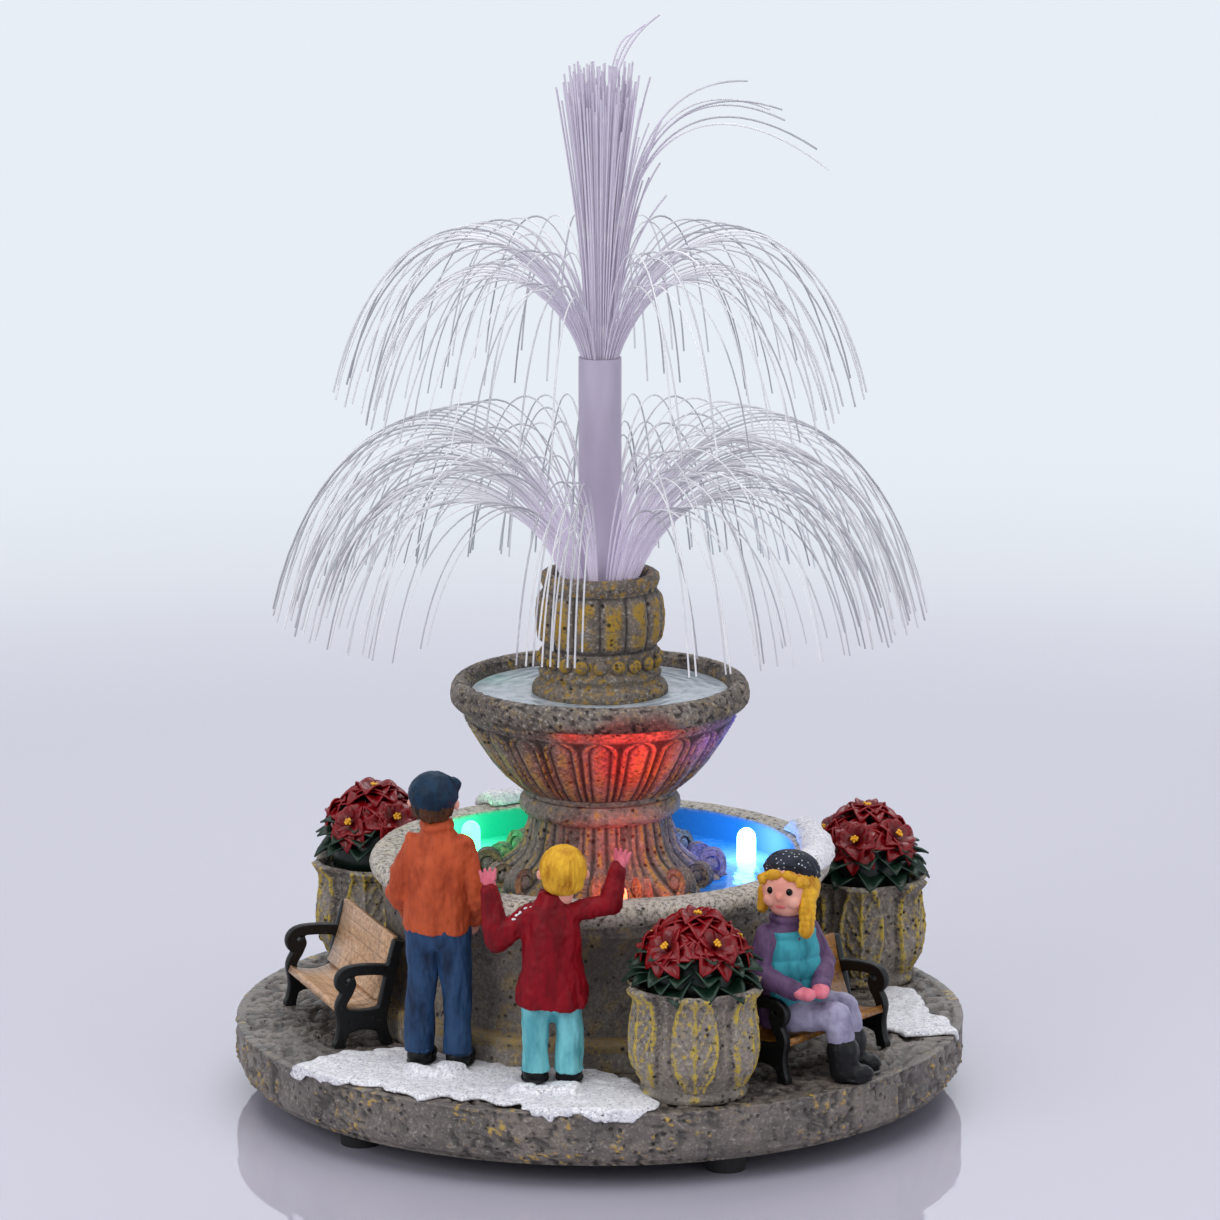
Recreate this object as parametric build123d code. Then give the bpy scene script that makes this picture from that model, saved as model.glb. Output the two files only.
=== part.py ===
from build123d import *
import os
from math import ceil, cos, hypot, radians, sin, sqrt

# Tabletop fountain ornament lit by batteries: a stone-look pool, bowl and vase with three tiers of
# clear fibres, benches, planters and small winter figures on a round slab. Millimetres, +Z up, with
# the origin on the table under the fountain's axis. The front of the ornament faces -Y.

# Clearances
CUT_OVERRUN = 1.0
SEAT_GAP = 0.2
RUNNING_GAP = 0.3

# Rubber feet
FOOT_HEIGHT = 6.0
FOOT_RADIUS = 5.5
FOOT_TIP_RADIUS = 5.0
FOOT_EDGE_GAP = 2.5
FOOT_COUNT = 5
FOOT_START_ANGLE = -67.0

# Ground slab
SLAB_RADIUS = 95.0
SLAB_THICKNESS = 14.0
SLAB_SKIN = 5.0
SLAB_RIM_WIDTH = 3.2
SLAB_LEDGE = 1.4
SLAB_EDGE_ROUND = 1.5
SLAB_UNDERCUT = 3.4
SLAB_UNDERCUT_HEIGHT = 4.5

# Bottom cover and its screws
COVER_THICKNESS = 2.5
SCREW_COUNT = 4
SCREW_START_ANGLE = 45.0
SCREW_CIRCLE_RADIUS = 66.0
SCREW_RADIUS = 1.2
SCREW_HEAD_RADIUS = 2.7
SCREW_HEAD_HEIGHT = 1.4
SCREW_BITE = 4.5
BOSS_RADIUS = 4.0

# Battery cells, springs and contacts
CELL_COUNT = 3
CELL_RADIUS = 7.25
CELL_LENGTH = 50.5
CELL_NUB_RADIUS = 2.75
CELL_NUB_HEIGHT = 1.2
CELL_SPACING_GAP = 0.6
SPRING_LENGTH = 4.5
SPRING_RADIUS = 2.8
SPRING_WIRE_RADIUS = 0.3
SPRING_TURNS = 3
CONTACT_WIDTH = 9.0
CONTACT_THICKNESS = 0.4
CONTACT_TAB_WIDTH = 2.0
WELL_WALL = 2.0

# Battery door
DOOR_LEDGE = 1.1
HINGE_BARREL_RADIUS = 1.8
HINGE_PIN_RADIUS = 1.0
HINGE_PIN_LENGTH = 2.4
HINGE_EAR_WIDTH = 3.2
HINGE_EAR_WALL = 1.3
LATCH_WIDTH = 12.0
LATCH_ARM = 1.2
LATCH_CATCH = 0.8
LATCH_HEIGHT = 1.6
THUMB_NOTCH_RADIUS = 6.0
THUMB_NOTCH_DEPTH = 1.2

# Slide switch
SWITCH_OFFSET = 42.0
SWITCH_LENGTH = 12.0
SWITCH_WIDTH = 5.6
SWITCH_HEIGHT = 4.5
SWITCH_TRAVEL = 4.0
KNOB_LENGTH = 3.0
KNOB_WIDTH = 2.4
KNOB_REACH = 1.4
KNOB_FLANGE = 0.7
KNOB_FLANGE_THICKNESS = 1.0

# Circuit board
BOARD_WIDTH = 30.0
BOARD_THICKNESS = 1.6
BOARD_POST_HEIGHT = 2.0
BOARD_POST_RADIUS = 2.2
CHIP_LENGTH = 9.0
CHIP_WIDTH = 6.0
CHIP_HEIGHT = 1.8
CAPACITOR_RADIUS = 2.5
CAPACITOR_HEIGHT = 6.0
BOARD_PAD_RADIUS = 9.0

# Lamps and their leads
LAMP_RADIUS = 2.5
LAMP_HEIGHT = 8.6
LAMP_FLANGE_RADIUS = 2.95
LAMP_FLANGE_HEIGHT = 1.0
LAMP_LEG_RADIUS = 0.25
LAMP_LEG_LENGTH = 6.0
LAMP_LEG_PITCH = 2.54
LEAD_RADIUS = 0.6
LEAD_BEND = 5.0
LEAD_HEIGHT = 7.0
LAMP_RING_RADIUS = 42.0
BLUE_LAMP_ANGLE = 24.0
GREEN_LAMP_ANGLE = 144.0
RED_LAMP_ANGLE = -84.0

# Pool
POOL_PLINTH_RADIUS = 59.6
POOL_PLINTH_HEIGHT = 8.0
POOL_PLINTH_CHAMFER = 1.2
POOL_WALL_RADIUS = 57.0
POOL_WAIST_RADIUS = 55.6
POOL_HEIGHT = 43.5
POOL_RIM_RADIUS = 59.8
POOL_RIM_HEIGHT = 6.0
POOL_RIM_WIDTH = 9.6
POOL_RIM_CROWN = 1.6
POOL_DEPTH = 7.5
POOL_WATER_THICKNESS = 4.0
POOL_WATER_LEDGE = 3.0

# Pedestal
WIRE_BORE_RADIUS = 3.5
PEDESTAL_FOOT_RADIUS = 24.5
PEDESTAL_FOOT_EDGE = 2.0
PEDESTAL_NECK_RADIUS = 17.2
PEDESTAL_HEIGHT = 17.3
COLLAR_RADIUS = 20.9
COLLAR_HEIGHT = 5.7
LEAF_COUNT = 16
LEAF_THICKNESS = 3.6
LEAF_RELIEF = 1.5
SCROLL_RADIUS = 3.0
SCROLL_REACH = 31.5
SCROLL_SHARES = (1.0, 0.8)

# Upper bowl
BOWL_FOOT_RADIUS = 19.6
BOWL_FOOT_HEIGHT = 1.2
BOWL_BELLY_RADIUS = 33.0
BOWL_BELLY_HEIGHT = 18.0
BOWL_BELLY_BULGE = 1.5
BOWL_RIM_RADIUS = 38.7
BOWL_RIM_INNER_RADIUS = 33.4
BOWL_RIM_HEIGHT = 8.5
BOWL_LIP_HEIGHT = 3.4
BOWL_WATER_DROP = 3.5
BOWL_WATER_THICKNESS = 3.0
FLUTE_COUNT = 20
FLUTE_RELIEF = 1.1
FLUTE_LAND = 0.4
FLUTE_END_SHARES = (0.2, 0.72)

# Vase
VASE_HEIGHT = 31.5
VASE_BASE_RADIUS = 17.6
VASE_NECK_RADIUS = 14.8
VASE_BELLY_RADIUS = 15.9
VASE_RIM_RADIUS = 15.4
VASE_RIM_HEIGHT = 4.0
VASE_BORE_RADIUS = 11.9
VASE_FLOOR = 3.5
VASE_BEAD_COUNT = 20
VASE_BEAD_RADIUS = 1.5
VASE_RIB_COUNT = 14
VASE_RIB_RELIEF = 0.9
VASE_RIB_LENGTH = 12.0
VASE_PROFILE_SHARES = {
    "base": 0.09,
    "bead": 0.27,
    "neck": 0.41,
    "belly": 0.62,
}

# Fibre bundle, its holder and sleeve
HOLDER_HEIGHT = 11.0
FERRULE_WALL = 0.6
FERRULE_DROP = 2.0
FIBRE_TOP_DROP = 1.0
SLEEVE_RADIUS = 5.5
SLEEVE_WALL = 0.5
SLEEVE_HEIGHT = 56.5
BUNDLE_GAP = 0.05
UPPER_BUNDLE_THICKNESS = 1.3

# Fibre strands
STRAND_SIZE = 0.28
STRAND_TURNS = (90, 210, 330)
STRAND_ROOT = 1.2
LOWER_REACH = 84.0
LOWER_APEX = 39.0
LOWER_DROP = 9.0
LOWER_BUNCHES = ((-10.0, 130.0, 20), (90.0, 62.0, 9), (180.0, 108.0, 18), (-100.0, 14.0, 4))
LOWER_BUNCH_SHARES = ((1.0, 1.0), (1.0, 1.0), (1.0, 1.0), (0.84, 0.78))
LOWER_STEPS = 8
LOWER_ROOT_SHARES = (0.18, 0.5, 0.82)
LOWER_REACH_SHARES = (1.0, 0.95, 0.86)
LOWER_APEX_SHARES = (1.0, 0.82, 0.6)
LOWER_DROP_SHARES = (1.0, 1.1, 0.8)
UPPER_REACH = 68.0
UPPER_APEX = 31.5
UPPER_DROP = 9.0
UPPER_BUNCHES = ((-10.0, 130.0, 14), (95.0, 60.0, 7), (190.0, 130.0, 14))
UPPER_STEPS = 7
UPPER_ROOT_SHARES = (0.26, 0.74)
UPPER_REACH_SHARES = (1.0, 0.88)
UPPER_APEX_SHARES = (1.0, 0.7)
UPPER_DROP_SHARES = (1.0, 1.8)
SPRAY_RISE_SHARE = 0.2
SPRAY_FALL_SHARE = 0.82
TUFT_HEIGHT = 76.0
TUFT_RADIUS = 10.2
TUFT_PITCH = 0.66
TUFT_STEPS = 3
TUFT_EDGE = 0.65
TUFT_UNEVEN_SHARE = 0.07
TUFT_UNEVEN_STEPS = 8
TUFT_UNEVEN_STRIDE = 5
TUFT_FLARE_POWER = 1.2
STRAY_COUNT = 6
STRAY_STEPS = 10
STRAY_SPREAD = 100.0
STRAY_FAN_SHARE = 0.35
STRAY_REACH = 58.0
STRAY_REACH_SHARES = (0.66, 0.8, 1.0, 0.95, 0.82, 0.77)
STRAY_TIP_SHARES = (0.95, 0.85, 0.64, 0.7, 0.79, 0.82)
STRAY_KNEE_SHARE = 0.9
TALL_COUNT = 3
TALL_RISE = 11.5
TALL_LEAN = 17.0

# Benches
BENCH_LENGTH = 45.0
BENCH_DEPTH = 13.0
BENCH_SEAT_HEIGHT = 12.0
BENCH_SEAT_THICKNESS = 1.8
BENCH_SEAT_DIP = 1.4
BENCH_ARM_HEIGHT = 21.0
BENCH_BACK_HEIGHT = 28.0
BENCH_BACK_WIDTH = 11.0
BENCH_BACK_THICKNESS = 1.6
BENCH_BACK_LEAN = 3.5
BENCH_END_THICKNESS = 2.4
BENCH_BAR = 2.2
BENCH_SCROLL_RADIUS = 2.3
LEFT_BENCH_GAP = 3.2
LEFT_BENCH_ANGLE = -169.0
LEFT_BENCH_FACING = -160.0
RIGHT_BENCH_GAP = 5.6
RIGHT_BENCH_ANGLE = -40.7
RIGHT_BENCH_FACING = -37.9

# Planters and their flowers
PLANTER_HEIGHT = 28.5
PLANTER_BASE_RADIUS = 13.0
PLANTER_FOOT_HEIGHT = 3.2
PLANTER_BELLY_RADIUS = 16.2
PLANTER_BELLY_HEIGHT = 11.5
PLANTER_NECK_RADIUS = 13.8
PLANTER_RIM_RADIUS = 17.2
PLANTER_RIM_THICKNESS = 2.4
PLANTER_MOUTH_RADIUS = 14.0
PLANTER_MOUTH_DEPTH = 3.0
PLANTER_LEAF_COUNT = 8
PLANTER_LEAF_RELIEF = 1.1
PLANTER_LEAF_LENGTH = 19.0
PLANTER_POOL_GAP = 0.6
LEFT_PLANTER_ANGLE = 140.3
FRONT_PLANTER_ANGLE = -72.5
RIGHT_PLANTER_ANGLE = 25.3
FLOWER_DOME_HEIGHT = 20.0
FLOWER_RADIUS = 8.2
FLOWER_THICKNESS = 1.1
FLOWER_PETALS = 6
FLOWER_WAIST_SHARE = 0.42
FLOWER_BUTTON_RADIUS = 1.5
FLOWER_RING_COUNT = 6
FLOWER_RING_TILT = 55.0
LEAF_RING_COUNT = 9
LEAF_RING_TILT = 82.0
GREEN_LEAF_LENGTH = 9.5
GREEN_LEAF_WIDTH = 5.0

# Snow
SNOW_THICKNESS = 1.5
SNOW_CREST_SHARE = 0.95
FRONT_SNOW_SHARES = (
    (-145.5, 0.985), (-147.0, 0.9), (-146.5, 0.79), (-142.0, 0.66), (-130.0, 0.6),
    (-110.0, 0.58), (-92.0, 0.6), (-83.5, 0.72), (-80.0, 0.86), (-81.0, 0.97),
    (-90.0, 0.985), (-99.0, 0.975), (-108.5, 0.94), (-119.0, 0.955), (-131.0, 0.965),
)
RIGHT_SNOW_SHARES = (
    (-7.0, 0.735), (8.0, 0.775), (14.5, 0.84), (11.5, 0.885), (3.0, 0.885), (-6.0, 0.93),
    (-14.5, 0.965), (-18.0, 0.915), (-16.5, 0.81),
)
RIM_SNOW_HEIGHT = 3.6
RIM_SNOW_OVERHANG = 1.2
RIM_SNOW_LUMPS = ((1.0, 42.0), (116.0, 15.0))

# Joints, shoes and mittens of every figure
JOINT_SHARE = 1.04
SHOE_WAIST_SHARE = 0.62
SHOE_WELT_SHARE = 0.4
MITTEN_REACH_SHARE = 0.3
MITTEN_TURNS = (37, 21, 0)

# Standing adult
ADULT_HEIGHT = 75.5
ADULT_POOL_GAP = 4.2
ADULT_ANGLE = -127.0
ADULT_FACING = 78.0
ADULT_DEPTH_SHARE = 0.078
ADULT_COAT_SHARES = (
    (0.44, 0.116, 0.076), (0.5, 0.119, 0.078), (0.6, 0.108, 0.076), (0.69, 0.112, 0.074),
    (0.755, 0.1, 0.062), (0.8, 0.05, 0.045), (0.825, 0.044, 0.042),
)
ADULT_LEG_SHARES = ((0.05, 0.066, 0.046), (0.26, 0.06, 0.05), (0.47, 0.052, 0.06))
ADULT_LEFT_ARM_SHARES = (
    (-0.09, 0.0, 0.752, 0.034), (-0.158, 0.012, 0.555, 0.044), (-0.125, 0.075, 0.475, 0.035),
)
ADULT_RIGHT_ARM_SHARES = (
    (0.09, 0.0, 0.752, 0.034), (0.142, 0.012, 0.56, 0.044), (0.105, 0.03, 0.48, 0.035),
)
ADULT_HAND_SHARE = 0.036
ADULT_HEAD_SHARES = (0.885, 0.074, 0.078)
ADULT_CAP_SHARES = (0.918, 0.08, 0.081)
ADULT_SHOE_SHARES = (0.15, 0.09, 0.07)

# Child with raised arms
CHILD_HEIGHT = 61.0
CHILD_POOL_GAP = 6.0
CHILD_ANGLE = -99.5
CHILD_FACING = 92.0
CHILD_DEPTH_SHARE = 0.1
CHILD_COAT_SHARES = (
    (0.31, 0.152, 0.105), (0.36, 0.155, 0.106), (0.5, 0.128, 0.096), (0.64, 0.12, 0.09),
    (0.725, 0.115, 0.075), (0.775, 0.06, 0.055), (0.8, 0.05, 0.05),
)
CHILD_LEG_SHARES = ((0.05, 0.07, 0.056), (0.18, 0.068, 0.058), (0.36, 0.062, 0.064))
CHILD_LEFT_ARM_SHARES = (
    (-0.09, 0.0, 0.715, 0.04), (-0.225, 0.03, 0.585, 0.051), (-0.25, 0.06, 0.81, 0.044),
)
CHILD_RIGHT_ARM_SHARES = (
    (0.09, 0.0, 0.715, 0.04), (0.245, 0.025, 0.745, 0.051), (0.275, 0.05, 0.9, 0.044),
)
CHILD_HAND_SHARE = 0.047
CHILD_HEAD_SHARES = (0.893, 0.094, 0.104)
CHILD_HAIR_SHARES = (0.898, 0.098, 0.102)
CHILD_SHOE_SHARES = (0.19, 0.11, 0.085)

# Seated figure
SEATED_HEIGHT = 45.5
SEATED_OFFSET = 11.0
SEATED_BACK_GAP = 1.0
SEATED_TWIST = -22.0
SEATED_LEG_TURN = 25.0
SEATED_COAT_SHARES = (
    (0.0, 0.19, 0.13), (0.1, 0.2, 0.135), (0.3, 0.18, 0.125), (0.45, 0.19, 0.12),
    (0.54, 0.17, 0.1), (0.6, 0.08, 0.075), (0.63, 0.07, 0.07),
)
SEATED_THIGH_SHARES = ((0.0, 0.04, 0.092, 0.092), (0.01, 0.29, 0.1, 0.078))
SEATED_SHIN_SHARES = ((0.01, 0.27, 0.1, 0.085), (0.01, 0.31, 0.06, 0.08), (0.016, 0.33, -0.14, 0.062))
SEATED_ARM_SHARES = (
    (0.14, -0.01, 0.52, 0.055), (0.215, 0.02, 0.32, 0.065), (0.11, 0.2, 0.235, 0.055),
)
SEATED_HAND_SHARE = 0.062
SEATED_HEAD_SHARES = (0.78, 0.135, 0.155)
SEATED_HAT_SHARES = (0.855, 0.142, 0.145)
SEATED_KNEE_SHARE = 0.095
SEATED_BOOT_SHARES = (0.23, 0.12, 0.16)

# Heights and radii that follow from the values above
SLAB_BOTTOM = FOOT_HEIGHT
SLAB_TOP = SLAB_BOTTOM + SLAB_THICKNESS
SLAB_FOOT_RADIUS = SLAB_RADIUS - SLAB_UNDERCUT
COVER_SEAT_RADIUS = SLAB_FOOT_RADIUS - SLAB_RIM_WIDTH
COVER_RADIUS = COVER_SEAT_RADIUS - SEAT_GAP
COVER_TOP = SLAB_BOTTOM + COVER_THICKNESS
FOOT_CIRCLE_RADIUS = COVER_RADIUS - FOOT_EDGE_GAP - FOOT_RADIUS
SLAB_CAVITY_TOP = SLAB_TOP - SLAB_SKIN

POOL_RADIUS = POOL_RIM_RADIUS - POOL_RIM_WIDTH
POOL_TOP = SLAB_TOP + POOL_HEIGHT
POOL_WATER_TOP = POOL_TOP - POOL_DEPTH
POOL_WATER_BOTTOM = POOL_WATER_TOP - POOL_WATER_THICKNESS
POOL_BORE_RADIUS = POOL_RADIUS - POOL_WATER_LEDGE

PEDESTAL_TOP = POOL_WATER_TOP + PEDESTAL_HEIGHT
BOWL_BOTTOM = PEDESTAL_TOP + COLLAR_HEIGHT
BOWL_BELLY_TOP = BOWL_BOTTOM + BOWL_BELLY_HEIGHT
BOWL_TOP = BOWL_BELLY_TOP + BOWL_LIP_HEIGHT + BOWL_RIM_HEIGHT
BOWL_WATER_TOP = BOWL_TOP - BOWL_WATER_DROP
BOWL_WATER_BOTTOM = BOWL_WATER_TOP - BOWL_WATER_THICKNESS
VASE_BOTTOM = BOWL_WATER_TOP
VASE_TOP = VASE_BOTTOM + VASE_HEIGHT
HOLDER_BOTTOM = VASE_BOTTOM + VASE_FLOOR
HOLDER_TOP = HOLDER_BOTTOM + HOLDER_HEIGHT
FERRULE_RADIUS = VASE_BORE_RADIUS - SEAT_GAP
LOWER_BUNDLE_RADIUS = FERRULE_RADIUS - FERRULE_WALL - BUNDLE_GAP
LOWER_BUNDLE_BORE = SLEEVE_RADIUS + BUNDLE_GAP
LOWER_BUNDLE_TOP = VASE_TOP - FIBRE_TOP_DROP
SLEEVE_TOP = LOWER_BUNDLE_TOP + SLEEVE_HEIGHT
UPPER_BUNDLE_TOP = SLEEVE_TOP
UPPER_BUNDLE_RADIUS = SLEEVE_RADIUS - SLEEVE_WALL - BUNDLE_GAP
TUFT_BUNDLE_RADIUS = UPPER_BUNDLE_RADIUS - UPPER_BUNDLE_THICKNESS - BUNDLE_GAP

WELL_INNER_WIDTH = CELL_COUNT * (2 * CELL_RADIUS + CELL_SPACING_GAP)
WELL_INNER_LENGTH = CELL_LENGTH + SPRING_LENGTH + 2 * CONTACT_THICKNESS
WELL_WIDTH = WELL_INNER_WIDTH + 2 * WELL_WALL
WELL_LENGTH = WELL_INNER_LENGTH + 2 * WELL_WALL
CELL_HEIGHT = COVER_TOP + RUNNING_GAP + CELL_RADIUS
WELL_CEILING = CELL_HEIGHT + CELL_RADIUS + RUNNING_GAP
WELL_TOP = WELL_CEILING + WELL_WALL
BOARD_BOTTOM = WELL_TOP + BOARD_POST_HEIGHT
BOARD_TOP = BOARD_BOTTOM + BOARD_THICKNESS
LEAD_LEVEL = BOARD_TOP + LEAD_HEIGHT

DOOR_WIDTH = WELL_INNER_WIDTH + 2 * DOOR_LEDGE
HINGE_Y = -WELL_LENGTH / 2 - RUNNING_GAP - HINGE_BARREL_RADIUS
HINGE_Z = SLAB_BOTTOM + HINGE_BARREL_RADIUS
LATCH_Y = WELL_LENGTH / 2 + RUNNING_GAP
DOOR_END_Y = LATCH_Y + LATCH_ARM

SNOW_TOP = SLAB_TOP + SNOW_THICKNESS
PLANTER_BODY_RADIUS = PLANTER_BELLY_RADIUS + PLANTER_LEAF_RELIEF
PLANTER_RING_RADIUS = POOL_PLINTH_RADIUS + PLANTER_POOL_GAP + PLANTER_BODY_RADIUS


# Shared forms

STANDING = (Align.CENTER, Align.CENTER, Align.MIN)


def on_ring(radius, angle, height=0):
    return Vector(radius * cos(radians(angle)), radius * sin(radians(angle)), height)


def profile_point(radius, height):
    return Vector(radius, 0, height)


def quarter_round(start, end, corner):
    # A round edge from start to end in place of the sharp corner between them.
    centre = start + end - corner
    return ThreePointArc(start, centre + (corner - centre) * sin(radians(45)), end)


def turned(*edges):
    return revolve(make_face(edges), Axis.Z)


def ring(outer, inner, bottom, top):
    corners = [(outer, bottom), (outer, top), (inner, top), (inner, bottom)]
    return turned(*Polyline(*[profile_point(*corner) for corner in corners], close=True).edges())


def disc(radius, bottom, top):
    return Pos(0, 0, bottom) * Cylinder(radius, top - bottom, align=STANDING)


def block(width, length, bottom, top):
    return Pos(0, 0, bottom) * Box(width, length, top - bottom, align=STANDING)


def around(shape, count, start=0):
    return [Rot(0, 0, start + 360 * index / count) * shape for index in range(count)]


def egg(half_width, half_height):
    # A solid of revolution whose outline is half an ellipse.
    rim = EllipticalCenterArc((0, 0), half_width, half_height, start_angle=-90, arc_size=180)
    outline = rim + Line(rim @ 1, rim @ 0)
    return revolve(Plane.XZ * make_face(outline), Axis.Z)


def gadroon(low, high, low_radius, high_radius):
    # A tapered rib with a rounded head, turned about the line from its low end to its high end.
    length = (high - low).length
    foot = Vector(0, 0, -low_radius)
    shoulder = Vector(high_radius, 0, length)
    head = Vector(0, 0, length + high_radius)
    cheek = Vector(high_radius * cos(radians(45)), 0, length + high_radius * sin(radians(45)))
    outline = [
        Line(foot, Vector(low_radius, 0, 0)),
        Line(Vector(low_radius, 0, 0), shoulder),
        ThreePointArc(shoulder, cheek, head),
        Line(head, foot),
    ]
    return Plane(low, x_dir=(0, 1, 0), z_dir=high - low) * turned(*outline)


def limb(points, radii):
    # Tapered runs between the points, with a round joint at each bend.
    runs = []
    for start, end, low, high in zip(points, points[1:], radii, radii[1:]):
        run = Cone(low, high, (end - start).length, align=STANDING)
        runs.append(Plane(start, z_dir=end - start) * run)
    joints = zip(points[1:-1], radii[1:-1])
    bends = [Pos(*point) * Sphere(radius * JOINT_SHARE) for point, radius in joints]
    return runs[0] + runs[1:] + bends


def stack(size, shares):
    # A body lofted through level ellipses, given as height, half width and half depth.
    return loft([Pos(0, 0, size * z) * Ellipse(size * x, size * y) for z, x, y in shares])


def shared_limb(size, shares, mirror=1):
    points = [Vector(mirror * size * x, size * y, size * z) for x, y, z, _ in shares]
    return limb(points, [size * radius for *_, radius in shares])


def hand(size, arm, radius, mirror=1):
    # A mitten that carries the forearm on past its last section.
    elbow, wrist = [Vector(mirror * size * x, size * y, size * z) for x, y, z, _ in arm[-2:]]
    centre = wrist + (wrist - elbow).normalized() * (radius * MITTEN_REACH_SHARE)
    return Pos(*centre) * Rot(*MITTEN_TURNS) * Sphere(radius)


def shoe(length, width, height, x, y, bottom):
    sole = Ellipse(width / 2, length / 2)
    waist = Ellipse(width * SHOE_WAIST_SHARE / 2, length * SHOE_WAIST_SHARE / 2)
    welt = Pos(0, 0, height * SHOE_WELT_SHARE) * sole
    return Pos(x, y, bottom) * loft([sole, welt, Pos(0, 0, height) * waist])


def place(shape, radius, angle, facing, height):
    # Figures and benches are modelled facing +Y and turned to face the given way.
    return Pos(*on_ring(radius, angle, height)) * Rot(0, 0, facing - 90) * shape


# Slab, cover and feet

def ground_slab():
    side_top = SLAB_TOP - SLAB_EDGE_ROUND
    cavity_radius = COVER_SEAT_RADIUS - SLAB_LEDGE
    outer = [
        profile_point(SLAB_RADIUS, SLAB_BOTTOM + SLAB_UNDERCUT_HEIGHT),
        profile_point(SLAB_FOOT_RADIUS, SLAB_BOTTOM),
        profile_point(COVER_SEAT_RADIUS, SLAB_BOTTOM),
        profile_point(COVER_SEAT_RADIUS, COVER_TOP),
        profile_point(cavity_radius, COVER_TOP),
        profile_point(cavity_radius, SLAB_CAVITY_TOP),
        profile_point(POOL_BORE_RADIUS, SLAB_CAVITY_TOP),
        profile_point(POOL_BORE_RADIUS, SLAB_TOP),
        profile_point(SLAB_RADIUS - SLAB_EDGE_ROUND, SLAB_TOP),
    ]
    edge = quarter_round(
        outer[-1], profile_point(SLAB_RADIUS, side_top), profile_point(SLAB_RADIUS, SLAB_TOP)
    )
    side = Line(profile_point(SLAB_RADIUS, side_top), outer[0])
    slab = turned(*Polyline(*outer).edges(), edge, side)
    boss = disc(BOSS_RADIUS, COVER_TOP, SLAB_CAVITY_TOP)
    pilot = disc(SCREW_RADIUS + BUNDLE_GAP, COVER_TOP - CUT_OVERRUN, COVER_TOP + SCREW_BITE + SEAT_GAP)
    at_screw = Pos(SCREW_CIRCLE_RADIUS, 0, 0)
    slab = slab + around(at_screw * boss, SCREW_COUNT, SCREW_START_ANGLE)
    return slab - around(at_screw * pilot, SCREW_COUNT, SCREW_START_ANGLE)


def rubber_feet():
    foot = Pos(FOOT_CIRCLE_RADIUS, 0, FOOT_HEIGHT / 2) * Cone(FOOT_TIP_RADIUS, FOOT_RADIUS, FOOT_HEIGHT)
    return Compound(around(foot, FOOT_COUNT, FOOT_START_ANGLE))


def cover_screws():
    head = disc(SCREW_HEAD_RADIUS, SLAB_BOTTOM, SLAB_BOTTOM + SCREW_HEAD_HEIGHT)
    shank = disc(SCREW_RADIUS, SLAB_BOTTOM, COVER_TOP + SCREW_BITE)
    cross = block(SCREW_RADIUS / 2, 2 * SCREW_RADIUS, SLAB_BOTTOM, SLAB_BOTTOM + SCREW_HEAD_HEIGHT / 2)
    screw = Pos(SCREW_CIRCLE_RADIUS, 0, 0) * (head + shank - cross - Rot(0, 0, 90) * cross)
    return Compound(around(screw, SCREW_COUNT, SCREW_START_ANGLE))


def door_opening():
    # The gap in the cover plate that the door closes, with the hinge barrel and latch arm in it.
    near = HINGE_Y - HINGE_BARREL_RADIUS - RUNNING_GAP
    far = DOOR_END_Y + RUNNING_GAP
    gap = block(DOOR_WIDTH + 2 * RUNNING_GAP, far - near, SLAB_BOTTOM - CUT_OVERRUN, COVER_TOP)
    return Pos(0, (near + far) / 2, 0) * gap


def hinge_ears():
    ear_top = HINGE_Z + HINGE_PIN_RADIUS + HINGE_EAR_WALL
    ear = block(HINGE_EAR_WIDTH, 2 * (HINGE_PIN_RADIUS + HINGE_EAR_WALL), SLAB_BOTTOM, ear_top)
    ear_x = DOOR_WIDTH / 2 + RUNNING_GAP + HINGE_EAR_WIDTH / 2
    return [Pos(side * ear_x, HINGE_Y, 0) * ear for side in (-1, 1)]


def hinge_line(radius, length):
    return Pos(0, HINGE_Y, HINGE_Z) * Rot(0, 90, 0) * Cylinder(radius, length)


def contact_places():
    # Each cell's x, and which way its nub points along Y.
    pitch = WELL_INNER_WIDTH / CELL_COUNT
    for index in range(CELL_COUNT):
        yield (index - (CELL_COUNT - 1) / 2) * pitch, (-1) ** index


def tab_places():
    # The two ends of the row of cells, where the contacts reach up to the board.
    places = list(contact_places())
    first_x, first_end = places[0]
    last_x, last_end = places[-1]
    reach = (WELL_INNER_LENGTH - CONTACT_THICKNESS) / 2
    inset = BOARD_WIDTH / 2 - CONTACT_TAB_WIDTH
    return [
        Vector(max(first_x, -inset), first_end * reach, 0),
        Vector(min(last_x, inset), -last_end * reach, 0),
    ]


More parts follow.
